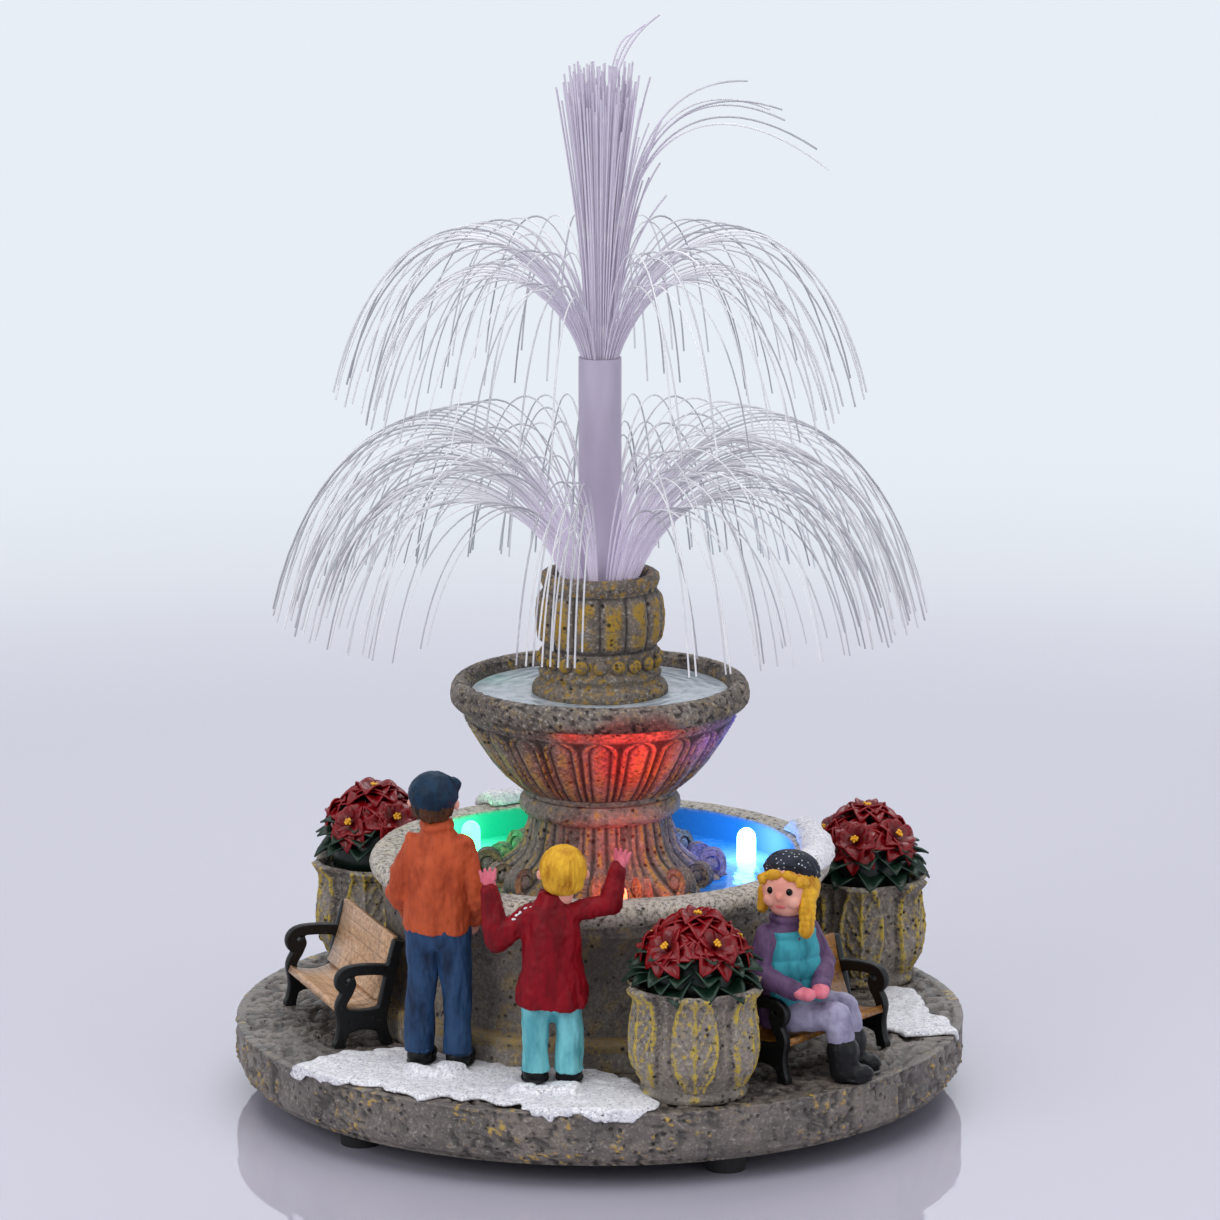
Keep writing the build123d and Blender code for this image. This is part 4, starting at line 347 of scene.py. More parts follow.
def woodFinish(name, pale, dark, turn):
    # grain runs along the bench, which stands turned on the slab
    material, shader, sock = startFinish(name)
    lengthwise = sock.mapped(turn=(0, 0, math.radians(-turn)), scale=(0.09, 1.0, 1.0))
    grain = sock.speckle(900.0, 6.0, 0.7, lengthwise)
    streak = sock.speckle(240.0, 3.0, 0.5, lengthwise)
    groove = sock.attribute("groove")
    tone = sock.mix(grain.between(0.36, 0.62), dark, pale)
    tone = sock.mix(streak.between(0.5, 0.72) * 0.5, tone, tinted(dark, 0.55))
    tone = sock.mix(groove * 0.35, tone, tinted(dark, 0.25))
    feed(shader, Base_Color=tone, Roughness=0.38 + grain * 0.25, Coat_Weight=0.3)
    feed(shader, Normal=sock.bump(grain - groove, 0.5, 0.0003))
    return material


def castFinish(name):
    # black enamel worn to bare metal on its high spots
    material, shader, sock = startFinish(name)
    fine = sock.speckle(800.0, 5.0, 0.65)
    worn = fine.between(0.62, 0.7) * 0.3
    feed(shader, Base_Color=sock.mix(worn, shade(12, 13, 14), shade(100, 102, 108)), Metallic=worn * 0.6)
    feed(shader, Roughness=0.3 + fine * 0.25, Specular_IOR_Level=0.3, Normal=sock.bump(fine, 0.45, 0.0004))
    return material


def petalFinish(name, dark, bright, gloss):
    material, shader, sock = startFinish(name)
    fine = sock.speckle(600.0)
    tone = sock.mix(sock.attribute("rim"), dark, bright)
    tone = sock.mix(fine.between(0.6, 0.8) * 0.3, tone, tinted(bright, 1.5, 0.03))
    feed(shader, Base_Color=tone, Roughness=gloss + fine * 0.2, Normal=sock.bump(fine, 0.3, 0.0002))
    feed(shader, Specular_IOR_Level=0.25, Coat_Weight=0.12, Coat_Roughness=0.1)
    return material


def snowFinish(name):
    material, shader, sock = startFinish(name)
    chip = sock.node("SeparateXYZ", {}, {0: sock.pits(2300.0, take=1)}, take=0)
    fine = sock.speckle(900.0, 5.0, 0.7)
    glint = chip.between(0.8, 0.9)
    tone = sock.mix(fine.between(0.35, 0.62), shade(206, 205, 213), shade(240, 240, 245))
    tone = sock.mix(sock.speckle(90.0, 3.0).between(0.5, 0.75) * 0.3, tone, shade(200, 198, 208))
    tone = sock.mix(glint, tone, white)
    tone = sock.mix((1 - chip.between(0.04, 0.12)) * 0.7, tone, shade(150, 148, 158))
    feed(shader, Base_Color=tone, Roughness=0.75 - glint * 0.5)
    feed(shader, Normal=sock.bump(fine + chip * 0.6, 0.5, 0.0003))
    return material


def waterFinish(name, tones, ringScale, glow):
    material, shader, sock = startFinish(name)
    values = {"Scale": ringScale, "Distortion": 6.0, "Detail": 3.0, "Detail Scale": 1.5, "Vector": sock.place()}
    ripple = sock.node("TexWave", {"wave_type": "RINGS", "rings_direction": "Z"}, values, take=1)
    fine = sock.speckle(240.0, 3.0)
    feed(shader, Base_Color=sock.mix(fine.between(0.3, 0.7), *tones), Roughness=0.16 + fine * 0.14)
    feed(shader, Normal=sock.bump(ripple * 0.5 + fine * 0.6, 0.4, 0.0007))
    feed(shader, Emission_Color=glowSum(sock, glow), Emission_Strength=1.0)
    return material


def fibreFinish(name, clear, core, shadow):
    # clear light guides, milky where they stand close together about the stem
    material, shader, sock = startFinish(name)
    near = 1 - sock.reach().between(0.006, 0.034)
    fine = sock.speckle(160.0, 2.0)
    colour = sock.mix(sock.attribute("tone"), shadow, clear)
    colour = sock.mix(near * 0.85, colour, core)
    colour = sock.mix(fine.between(0.55, 0.75) * 0.4, colour, white)
    # painted light, given as emission: a faint grey glow along all strands, lilac in the bundle about the stem low down
    low = near * (1 - sock.axis(2).between(0.15, 0.19))
    feed(shader, Base_Color=colour, Roughness=0.1 + fine * 0.1, Alpha=0.72 + near * 0.2, IOR=1.49)
    feed(shader, Emission_Color=sock.mix(low, shade(110, 110, 114), core), Emission_Strength=0.2)
    return material


def sleeveFinish(name):
    material, shader, sock = startFinish(name)
    fine = sock.speckle(90.0, 3.0, 0.5, sock.mapped(scale=(1, 1, 0.2)))
    low = sock.axis(2).between(0.136, 0.16)
    tone = sock.mix(fine.between(0.35, 0.7), shade(172, 160, 182), shade(192, 182, 202))
    tone = sock.mix((1 - low) * 0.5, tone, shade(220, 214, 228))
    feed(shader, Base_Color=tone, Roughness=0.32 + fine * 0.12, Normal=sock.bump(fine, 0.12, 0.0003))
    return material


def lampFinish(name, body, light, power):
    material, shader, sock = startFinish(name)
    fine = sock.speckle(500.0, 2.0)
    feed(shader, Base_Color=sock.mix(fine, body, light), Roughness=0.12 + fine * 0.05)
    feed(shader, Emission_Color=light, Emission_Strength=power)
    return material


# pools of the lamps' light, painted onto the stone and water as emission
bowlGlow = [
    ((9, -34, 94), 25, (1.0, 0.03, 0.03, 1), 1.5),
    ((13, -31, 89), 12, (1.0, 0.3, 0.04, 1), 0.5),
    ((-8, -36, 101), 9, (1.0, 0.08, 0.04, 1), 0.8),
    ((4, -37, 101), 9, (1.0, 0.08, 0.04, 1), 1.3),
    ((14, -34, 101), 9, (1.0, 0.08, 0.04, 1), 1.3),
    ((-14, -29, 89), 18, (0.5, 0.07, 0.01, 1), 0.4),
    ((28, -20, 95), 14, (0.3, 0.04, 0.5, 1), 0.9),
    ((36, -3, 96), 20, (0.1, 0.12, 1.0, 1), 0.9),
    ((-35, 4, 90), 15, (0.05, 0.3, 0.08, 1), 0.5),
    ((-26, 20, 85), 20, (0.03, 0.7, 0.2, 1), 0.9),
]
pedestalGlow = [
    ((6, -22, 70), 24, (0.8, 0.05, 0.04, 1), 0.7),
    ((4, -32, 59), 13, (1.0, 0.24, 0.05, 1), 1.0),
    ((16, -28, 59), 10, (1.0, 0.2, 0.05, 1), 0.8),
    ((30, 4, 64), 22, (0.1, 0.14, 1.0, 1), 0.9),
    ((-28, 14, 64), 20, (0.02, 0.7, 0.2, 1), 0.8),
]
poolGlow = [
    (lampPlaces["green"], 62, (0.0, 0.72, 0.3, 1), 1.5),
    (lampPlaces["blue"], 62, (0.01, 0.22, 1.0, 1), 1.6),
    (lampPlaces["blue"], 18, (0.35, 0.75, 1.0, 1), 1.4),
    (lampPlaces["green"], 18, (0.3, 1.0, 0.7, 1), 1.4),
    (lampPlaces["red"], 26, (0.8, 0.08, 0.03, 1), 0.6),
]
poolBands = [
    # painted shade on the outer wall, then the pale rim and the ochre foot
    (28.6, 54.0, shade(62, 54, 50), 0.7),
    (57.5, 64.5, shade(214, 207, 196), 0.9),
    (25.6, 28.4, shade(150, 122, 50), 0.7),
]
bowlWaterGlow = [((-28, 14, 105), 18, (0.0, 0.16, 0.08, 1), 0.5)]
finishes = {
    "slab": stoneFinish("slabStone", {
        "brush": 0.8, "rough": 0.22, "shine": 0.6,
        "dark": shade(88, 81, 77), "mid": shade(120, 110, 102), "pale": shade(178, 168, 156),
    }),
    "pool": stoneFinish("poolStone", {"speckle": 0.5}, poolGlow, poolBands, inner=50.3),
    "pedestal": stoneFinish("pedestalStone", {}, pedestalGlow),
    "bowl": stoneFinish("bowlStone", {"dark": shade(98, 90, 85), "mid": shade(138, 129, 121)}, bowlGlow, below=102.2),
    "vase": stoneFinish("vaseStone", {
        "brush": 1.0, "dabs": (0.34, 0.5),
        "dark": shade(88, 80, 74), "mid": shade(122, 112, 102), "ochre": shade(172, 136, 44),
    }),
    "planter": stoneFinish("planterStone", {"brush": 1.0, "dabs": (0.36, 0.5), "ochre": shade(196, 170, 72)}),
    "poolWater": waterFinish("poolWater", (shade(40, 80, 96), shade(86, 130, 146)), 60.0, poolGlow),
    "bowlWater": waterFinish("bowlWater", (shade(164, 176, 186), shade(196, 203, 212)), 90.0, bowlWaterGlow),
    "fibre": fibreFinish("clearFibre", shade(250, 250, 253), shade(222, 212, 232), shade(162, 162, 172)),
    "sleeve": sleeveFinish("stemSleeve"),
    "snow": snowFinish("glitterSnow"),
    "cast": castFinish("castIron"),
    "leftWood": woodFinish("leftBenchWood", shade(216, 176, 138), shade(172, 128, 90), -160 - 90),
    "rightWood": woodFinish("rightBenchWood", shade(176, 118, 42), shade(120, 74, 24), -37.9 - 90),
    "petal": petalFinish("redPetal", shade(64, 1, 6), shade(142, 5, 17), 0.18),
    "leaf": petalFinish("greenLeaf", shade(10, 24, 18), shade(26, 52, 38), 0.28),
    "stamen": mouldedFinish("yellowStamen", shade(228, 168, 26), 0.35),
    "rubber": mouldedFinish("footRubber", shade(22, 22, 23), 0.7),
    "plastic": mouldedFinish("baseShell", shade(34, 33, 34), 0.5),
    "switch": mouldedFinish("switchShell", shade(26, 26, 28), 0.35),
    "steel": mouldedFinish("plainSteel", shade(180, 180, 182), 0.28, 1.0),
    "cell": mouldedFinish("cellJacket", shade(70, 74, 84), 0.3),
    "board": mouldedFinish("boardGreen", shade(24, 84, 46), 0.35),
    "lead": mouldedFinish("leadRed", shade(150, 28, 24), 0.4),
    "holder": mouldedFinish("holderWhite", shade(214, 214, 220), 0.4),
    "redLamp": lampFinish("redLamp", shade(200, 60, 50), (1.0, 0.05, 0.02, 1), 14.0),
    "greenLamp": lampFinish("greenLamp", shade(80, 200, 100), (0.02, 0.8, 0.16, 1), 22.0),
    "blueLamp": lampFinish("blueLamp", shade(90, 120, 230), (0.12, 0.36, 1.0, 1), 22.0),
    "clearLamp": lampFinish("clearLamp", shade(220, 220, 230), (0.8, 0.78, 1.0, 1), 4.0),
}
cadFinishes = {
    "rubber": ["rubber_feet"],
    "plastic": ["bottom_cover", "battery_door"],
    "steel": ["cover_screws", "battery_springs", "battery_contacts"],
    "switch": ["switch_body", "switch_slider"],
    "cell": ["batteries"],
    "board": ["circuit_board"],
    "lead": ["wiring"],
    "holder": ["lamp_holder", "fibre_ferrule"],
    "clearLamp": ["fibre_lamp"],
    "redLamp": ["red_lamp"],
    "greenLamp": ["green_lamp"],
    "blueLamp": ["blue_lamp"],
    "poolWater": ["pool_water"],
    "bowlWater": ["bowl_water"],
    "sleeve": ["stem_sleeve"],
}
for finishName, names in cadFinishes.items():
    for nodeName in names:
        cadNodes[nodeName].data.materials.clear()
        cadNodes[nodeName].data.materials.append(finishes[finishName])
print("finishes made:", len(finishes))


# shared modelling helpers

def addPiece(name, bm, finish, stands=(), body="fountain"):
    mesh = bpy.data.meshes.new(name)
    bm.to_mesh(mesh)
    bm.free()
    mesh.materials.append(finish)
    mesh.shade_smooth()
    piece = addObject(name, mesh)
    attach(piece, body)
    if stands:
        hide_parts(*stands)
    return piece


def cutOutline(points, gap):
    # the same line with a point at least every gap, which may differ from place to place
    cut = []
    for first, second in zip(points, points[1:]):
        middle = [(a + b) / 2 for a, b in zip(first, second)]
        space = gap(*middle) if callable(gap) else gap
        count = int(math.dist(first, second) / space) + 1
        cut += [tuple(a + (b - a) * index / count for a, b in zip(first, second)) for index in range(count)]
    return cut + [points[-1]]


def spinLine(bm, points, steps, closed, near):
    # a line in radius and height, spun about the upright axis
    corners = [bm.verts.new((r, 0, z)) for r, z in points]
    for first, second in zip(corners, corners[1:] + corners[:closed]):
        bm.edges.new((first, second))
    bmesh.ops.spin(
        bm, geom=bm.verts[:] + bm.edges[:], cent=(0, 0, 0), axis=(0, 0, 1), angle=fullTurn, steps=steps, use_merge=True
    )
    bmesh.ops.remove_doubles(bm, verts=bm.verts, dist=near)
    bmesh.ops.recalc_face_normals(bm, faces=bm.faces)


def turnProfile(bm, profile, steps, gap):
    # a closed outline in millimetres, cut finely and spun
    outline = cutOutline(profile + profile[:1], gap)[:-1]
    spinLine(bm, [(r * mm, z * mm) for r, z in outline], steps, 1, 1e-6)


def carveTurned(profile, steps, gap, carve):
    # spins the profile; carve moves each point and says how far the paint brush reaches it, a low value giving painted
    # shade in the carved-in parts
    bm = bmesh.new()
    relief = bm.verts.layers.float.new("relief")
    turnProfile(bm, profile, steps, gap)
    for vert in bm.verts:
        vert[relief] = carve(vert, math.hypot(vert.co.x, vert.co.y) / mm, vert.co.z / mm)
    return bm


def takeIn(bm, part):
    # adds a finished part to a larger mesh
    mesh = bpy.data.meshes.new("part")
    part.to_mesh(mesh)
    part.free()
    bm.from_mesh(mesh)
    bpy.data.meshes.remove(mesh)


def finalMesh(thing):
    # what a curve or a modified object comes to, as a mesh to work on
    mesh = bpy.data.meshes.new_from_object(thing.evaluated_get(bpy.context.evaluated_depsgraph_get()))
    bpy.data.objects.remove(thing)
    bm = bmesh.new()
    bm.from_mesh(mesh)
    bpy.data.meshes.remove(mesh)
    return bm


def meldMesh(bm, voxel, smoothing):
    # one skin over everything in the mesh
    mesh = bpy.data.meshes.new("meld")
    bm.to_mesh(mesh)
    bm.free()
    form = addObject("meld", mesh)
    remesh = form.modifiers.new("skin", "REMESH")
    remesh.mode = "VOXEL"
    remesh.voxel_size = voxel
    soft = form.modifiers.new("soft", "SMOOTH")
    soft.factor = 0.5
    soft.iterations = smoothing
    melded = finalMesh(form)
    bpy.data.meshes.remove(mesh)
    return melded


def barCurve(name, thick, roundness, cuts):
    data = bpy.data.curves.new(name, "CURVE")
    data.dimensions = "3D"
    data.bevel_depth = thick
    data.bevel_resolution = roundness
    data.use_fill_caps = True
    data.resolution_u = cuts
    return data


def turnPhase(place, count):
    # where a point lies within one of count equal sectors, from -0.5 to 0.5
    return (math.atan2(place.y, place.x) / fullTurn * count + 0.5) % 1.0 - 0.5


def pushOut(vert, amount):
    # moves a point away from the upright axis, in millimetres
    r = math.hypot(vert.co.x, vert.co.y)
    scale = (r + amount * mm) / r
    vert.co.x *= scale
    vert.co.y *= scale


def outward(place):
    return Vector((place.x, place.y, 0)).normalized()


def flatBelow(bm, level):
    for vert in bm.verts:
        vert.co.z = max(vert.co.z, level)


def repeatRound(bm, count):
    # copies what is there round the upright axis
    bmesh.ops.spin(
        bm, geom=bm.verts[:] + bm.edges[:] + bm.faces[:], cent=(0, 0, 0), axis=(0, 0, 1),
        angle=fullTurn * (count - 1) / count, steps=count - 1, use_duplicate=True,
    )


def ringPoint(radius, turn, height):
    return Vector((radius * math.cos(turn), radius * math.sin(turn), height))


def turned(degrees, axis="Z"):
    return Matrix.Rotation(math.radians(degrees), 4, axis)


def standAt(radius, angle, facing, height=slabTop):
    # where something made in millimetres stands on the slab, and which way it looks
    spot = ringPoint(radius, math.radians(angle), height) * mm
    return Matrix.Translation(spot) @ turned(facing - 90) @ Matrix.Scale(mm, 4)


def smoothStep(value, low, high):
    t = max(0.0, min(1.0, (value - low) / (high - low)))
    return t * t * (3 - 2 * t)


def ridge(value, centre, width):
    return math.exp(-((value - centre) / width) ** 2)


def along(points, share):
    # a smooth line through the points
    last = len(points) - 1
    spot = min(max(share, 0.0), 0.9999) * last
    index = int(spot)
    t = spot - index
    p0, p1 = Vector(points[max(index - 1, 0)]), Vector(points[index])
    p2, p3 = Vector(points[index + 1]), Vector(points[min(index + 2, last)])
    bend = (2 * p0 - 5 * p1 + 4 * p2 - p3) * t * t
    return 0.5 * (2 * p1 + (p2 - p0) * t + bend + (3 * p1 - p0 - 3 * p2 + p3) * t ** 3)


def bendSheet(bm, rows, columns, shape, layer):
    # a flat grid whose points are moved to shape(u, v), u along and v from -1 to 1 across
    made = bmesh.ops.create_grid(bm, x_segments=rows, y_segments=columns, size=1.0)
    for vert in made["verts"]:
        vert.co, vert[layer] = shape((vert.co.x + 1) / 2, vert.co.y)
    return made["verts"]


def thicken(bm, depth):
    bmesh.ops.recalc_face_normals(bm, faces=bm.faces)
    bmesh.ops.solidify(bm, geom=bm.faces[:], thickness=depth)
    bmesh.ops.recalc_face_normals(bm, faces=bm.faces)


def roundNoise(place, scale, seed=0.0):
    return noise.fractal(place * scale + Vector((seed, seed * 1.7, seed * 0.6)), 0.9, 2.1, 4)


# ground slab, hewn at its side and rippled on top

slabSettings = {
    "profile": [
        (47.2, 15), (47.2, 20), (94.2, 20), (94.8, 19.8), (95, 19.3), (95, 10.5), (93.8, 7.8), (91.6, 6),
        (88.4, 6), (88.4, 8.5), (87, 8.5), (87, 15),
    ],
    "steps": 540,
    "radius": 95,
    "sideFrom": (91.8, 6.05),
    "topFrom": (50, 19.9),
    "sideDepth": 1.5,
    "topDepth": 0.8,
}


def slabGap(r, z):
    if r > 90.5:
        return 0.62
    return 0.9 if z > 19 and r > 56 else 9.0


def makeGroundSlab(settings):
    sideR, sideZ = settings["sideFrom"]
    topR, topZ = settings["topFrom"]

    def carve(vert, r, z):
        if r > sideR and z > sideZ:
            spot = ringPoint(settings["radius"], math.atan2(vert.co.y, vert.co.x), z * 0.55)
            patch = smoothStep(roundNoise(spot, 0.07, 2.0), -0.4, 0.1)
            worm = ridge(roundNoise(spot, 0.34, 4.0), 0.0, 0.08) * patch
            dent = smoothStep(roundNoise(spot, 0.5, 7.0), 0.0, 0.35) * (0.3 + 0.7 * patch)
            edge = smoothStep(z, 19.95, 19.2)
            cut = settings["sideDepth"] * (0.4 + 0.6 * dent - 0.4 * worm) * (0.25 + 0.75 * edge)
            pushOut(vert, -max(0.0, cut))
            return 0.44 - dent * 0.44 + worm * 0.62
        if r > topR and z > topZ:
            dip = smoothStep(roundNoise(vert.co / mm, 0.46, 9.0), 0.12, -0.2) * smoothStep(r, 94.2, 92.6)
            vert.co.z -= settings["topDepth"] * dip * mm
            return 0.49 - dip * 0.46
        return 0.5

    bm = carveTurned(settings["profile"], settings["steps"], slabGap, carve)
    return addPiece("groundSlab", bm, finishes["slab"], ["ground_slab"])


# pool wall

poolSettings = {
    "profile": [
        (47.2, 20), (59.6, 20), (59.6, 26.9), (59.2, 27.7), (58.4, 28), (57, 28.1), (56.2, 34), (55.6, 42.8),
        (56.2, 51.5), (57, 57.2), (58.6, 58.0), (59.6, 59.4), (59.8, 60.6), (59.4, 61.9), (58.4, 62.9), (57, 63.4),
        (54.6, 63.5), (52, 63.4), (50.8, 63.0), (50.2, 62), (50.2, 52), (47.2, 52),
    ],
    "steps": 300,
    "gap": 0.8,
    "rimFrom": 57,
    "rimDepth": 0.35,
    "wallDepth": 0.45,
}


def makePoolWall(settings):
    def carve(vert, r, z):
        rough = roundNoise(vert.co / mm, 0.2)
        fine = roundNoise(vert.co / mm, 0.7, 3.0)
        cut = min(1.0, max(0.0, 0.25 + rough * 0.7 + fine * 0.5))
        if r > 50.5 and z > 20.1:
            pushOut(vert, -cut * settings["rimDepth" if z > settings["rimFrom"] else "wallDepth"])
        return 0.7 - cut * 0.5

    bm = carveTurned(settings["profile"], settings["steps"], settings["gap"], carve)
    return addPiece("poolWall", bm, finishes["pool"], ["pool_wall"])


# pedestal, a flared skirt of leaves that end in scrolls

pedestalSettings = {
    "profile": [
        (3.5, 56), (27.2, 56), (26.6, 57.2), (24.4, 58.6), (21.6, 60.6), (19.6, 63.2), (18.4, 66.6), (17.9, 70.2),
        (17.6, 73.2), (18.05, 73.4), (19.7, 73.8), (20.7, 74.9), (20.9, 76.15), (20.7, 77.4), (19.7, 78.6), (18.05, 79),
        (3.5, 79),
    ],
    "leaves": 8,
    "cuts": 44,
    "skirt": (56.05, 73.3, 17.3),
    "flare": 4.4,
    "scroll": [
        (22.6, 61.2), (24.6, 59.0), (27.0, 57.2), (29.4, 56.7), (31.2, 57.8), (31.5, 60.0), (30.3, 61.9), (28.2, 62.1),
        (26.9, 60.7), (27.4, 59.0), (28.9, 58.7), (29.6, 59.8),
    ],
    "root": (22.6, 56.4),
    "width": 3.2,
    "thick": 1.5,
    "hub": (28.9, 59.6),
    "hubSize": (2.5, 2.9, 2.4),
    "shares": (1.0, 0.8),
}


def skirtRelief(phase, fall):
    # carved height of the leaves in millimetres, and how far the paint brush reaches it, a low value giving painted
    # shade
    half = 0.38 + 0.03 * fall
    inside = (half - abs(phase)) / half
    if inside > 0:
        crown = 1.5 * math.sqrt(max(0.0, 1 - (phase / half) ** 2))
        rib = ridge(phase, 0, 0.05)
        fold = ridge(abs(phase), half * 0.56, 0.05)
        rim = ridge(inside, 0.08, 0.08)
        trough = ridge(abs(phase), half * 0.3, 0.05) + ridge(abs(phase), half * 0.8, 0.04)
        paint = 0.42 + 0.45 * rib + 0.45 * fold + 0.4 * rim - 0.35 * trough
        return crown + 0.8 * rib + 0.8 * fold + 0.5 * rim - 0.5 * trough - 0.6, paint
    gap = (0.5 - abs(phase)) / (0.5 - half)
    crown = 0.9 * math.sqrt(max(0.0, 1 - gap * gap)) * smoothStep(fall, 0.1, 0.5)
    rib = ridge(gap, 0, 0.22) * smoothStep(fall, 0.1, 0.5)
    return crown + 0.35 * rib - 0.5, 0.24 + 0.5 * rib


def pedestalScroll(settings, size):
    # one leaf tip that curls round its hub
    rootR, rootZ = settings["root"]
    scroll = bmesh.new()
    layer = scroll.verts.layers.float.new("relief")

    def shrunk(r, z):
        return rootR + (r - rootR) * size, rootZ + (z - rootZ) * size

    def shape(u, v):
        spot = along(settings["scroll"], u)
        slope = (along(settings["scroll"], u + 0.01) - spot).normalized()
        r, z = shrunk(*spot)
        half = settings["width"] * size * (1.0 - 0.3 * smoothStep(u, 0.25, 0.6) + 0.1 * smoothStep(u, 0.6, 0.9))
        crown = 0.5 * (1 - v * v) + 0.35 * ridge(v, 0, 0.2) + 0.3 * ridge(abs(v), 0.9, 0.14)
        place = Vector((r - slope.y * crown * 0.9, v * half, max(z + slope.x * crown * 0.9, 56.1)))
        return place * mm, 0.35 + 0.5 * ridge(v, 0, 0.25) + 0.5 * ridge(abs(v), 0.9, 0.16)

    bendSheet(scroll, 60, 14, shape, layer)
    thicken(scroll, settings["thick"] * mm)
    hubR, hubZ = shrunk(*settings["hub"])
    spread = Matrix.Diagonal((*[c * size * mm for c in settings["hubSize"]], 1.0))
    made = bmesh.ops.create_uvsphere(
        scroll, u_segments=20, v_segments=14, radius=1.0, matrix=Matrix.Translation((hubR * mm, 0, hubZ * mm)) @ spread
    )
    for vert in made["verts"]:
        vert[layer] = 0.5
    return scroll


def makePedestal(settings):
    low, high, span = settings["skirt"]

    def carve(vert, r, z):
        rough = roundNoise(vert.co / mm, 0.5)
        if low < z < high and r > 17:
            fall = (high - z) / span
            phase = turnPhase(vert.co, settings["leaves"])
            rise, paint = skirtRelief(phase, fall)
            flare = settings["flare"] * smoothStep(fall, 0.4, 1.0) * max(0.0, math.cos(phase * 3.6))
            pushOut(vert, rise * (0.45 + 0.55 * smoothStep(fall, 0.0, 0.35)) + flare + rough * 0.15)
            return paint
        if z > 73.5:
            pushOut(vert, -0.3 * max(0.0, rough + 0.1))
        return 0.5 + rough * 0.4

    leaves = settings["leaves"]
    bm = carveTurned(settings["profile"], leaves * settings["cuts"], lambda r, z: 0.5 if r > 16 else 4.0, carve)
    for order, size in enumerate(settings["shares"]):
        scroll = pedestalScroll(settings, size)
        scroll.transform(turned(180 * order / leaves))
        repeatRound(scroll, leaves)
        takeIn(bm, scroll)
    return addPiece("pedestalCarved", bm, finishes["pedestal"], ["pedestal"])


# bowl with arched flutes, and the ribbed vase

bowlSettings = {
    "profile": [
        (33.4, 102.4), (33.4, 105.6), (34.1, 107.6), (35.4, 108.7), (36.4, 108.9), (37.6, 108.2), (38.4, 106.8),
        (38.7, 104.9), (38.5, 103.4), (37.8, 102.5), (36.5, 102.1), (36.0, 101.3), (35.6, 100.4), (34.9, 99.2),
        (33.4, 97.2), (30.6, 92.6), (27.4, 87.8), (23.8, 83.7), (19.6, 80.2), (19.6, 79.0), (3.5, 79.0), (3.5, 102.4),
    ],
    "flutes": 20,
    "cuts": 18,
    "gap": 0.5,
    "low": 80.4,
    "high": 100.6,
    "relief": 1.35,
    "tongue": {"arch": 0.76, "top": 0.93, "half": 0.44},
}


def tongueRelief(share, phase, arch, top, half):
    # height of a round-topped tongue with a raised edge: 0 between tongues, 1 on its edge
    if share > top or share < 0.02:
        return 0.0
    width = half
    if share > arch:
        width = half * math.sqrt(max(0.0, 1 - ((share - arch) / (top - arch)) ** 2))
    inside = (width - abs(phase)) / half
    if inside < -0.1:
        return 0.0
    return max(ridge(inside, 0.14, 0.12), 0.72 * smoothStep(inside, 0.3, 0.75))


def makeBowl(settings):
    low, high = settings["low"], settings["high"]

    def carve(vert, r, z):
        if low < z < high and r > 19.0:
            share = (z - low) / (high - low)
            rise = tongueRelief(share, turnPhase(vert.co, settings["flutes"]), **settings["tongue"])
            pushOut(vert, settings["relief"] * rise - 0.45)
            return max(rise, 0.5 * smoothStep(share, 0.9, 0.96))
        if z > 101.4 and r > 34:
            dent = max(0.0, roundNoise(vert.co / mm, 0.75, 6.0) + 0.1)
            pushOut(vert, -0.9 * dent)
            return 0.62 - dent * 0.9
        return 0.5 + roundNoise(vert.co / mm, 0.45) * 0.5

    bm = carveTurned(settings["profile"], settings["flutes"] * settings["cuts"], settings["gap"], carve)
    return addPiece("bowlFluted", bm, finishes["bowl"], ["bowl"])


vaseSettings = {
    "profile": [
        (11.9, 108.9), (3.5, 108.9), (3.5, 105.4), (17.6, 105.4), (17.6, 106.6), (17.0, 107.8), (15.9, 108.6),
        (15.5, 109.4), (15.8, 110.4), (15.9, 111.0), (15.3, 111.8), (14.8, 112.6), (14.8, 117.6), (15.3, 120.0),
        (15.8, 123.0), (15.9, 125.4), (15.6, 128.6), (14.9, 132.4), (14.6, 133.0), (15.0, 133.6), (15.4, 134.9),
        (15.2, 136.2), (14.4, 136.8), (13.2, 136.8), (12.2, 136.2), (11.9, 135.4),
    ],
    "ribs": 14,
    "cuts": 18,
    "gap": 0.5,
    "low": 117.4,
    "high": 134.6,
    "ribsEnd": 132.6,
    "relief": 1.3,
    "beads": 20,
    "bead": (14.6, 114.4, 2.0),
}


def makeVase(settings):
    low, high = settings["low"], settings["high"]

    def carve(vert, r, z):
        rough = roundNoise(vert.co / mm, 0.6)
        if low < z < settings["ribsEnd"] and r > 14:
            share = (z - low) / (high - low)
            swell = math.cos(turnPhase(vert.co, settings["ribs"]) * math.pi) ** 0.7
            rise = swell * smoothStep(share, 0.0, 0.14) * smoothStep(share, 0.9, 0.74)
            pushOut(vert, settings["relief"] * rise - 0.45 + rough * 0.15)
            return 0.05 + 0.9 * rise
        if r > 12.5:
            pushOut(vert, -0.25 * max(0.0, rough))
        return 0.6 + rough * 0.5

    bm = carveTurned(settings["profile"], settings["ribs"] * settings["cuts"], settings["gap"], carve)
    bead = bmesh.new()
    layer = bead.verts.layers.float.new("relief")
    r, z, size = settings["bead"]
    bmesh.ops.create_uvsphere(
        bead, u_segments=16, v_segments=10, radius=size * mm, matrix=Matrix.Translation((r * mm, 0, z * mm))
    )
    for vert in bead.verts:
        vert[layer] = smoothStep(vert.co.x / mm, r, r + size * 0.7) * 0.9 + 0.1
    repeatRound(bead, settings["beads"])
    takeIn(bm, bead)
    return addPiece("vaseRibbed", bm, finishes["vase"], ["vase"])


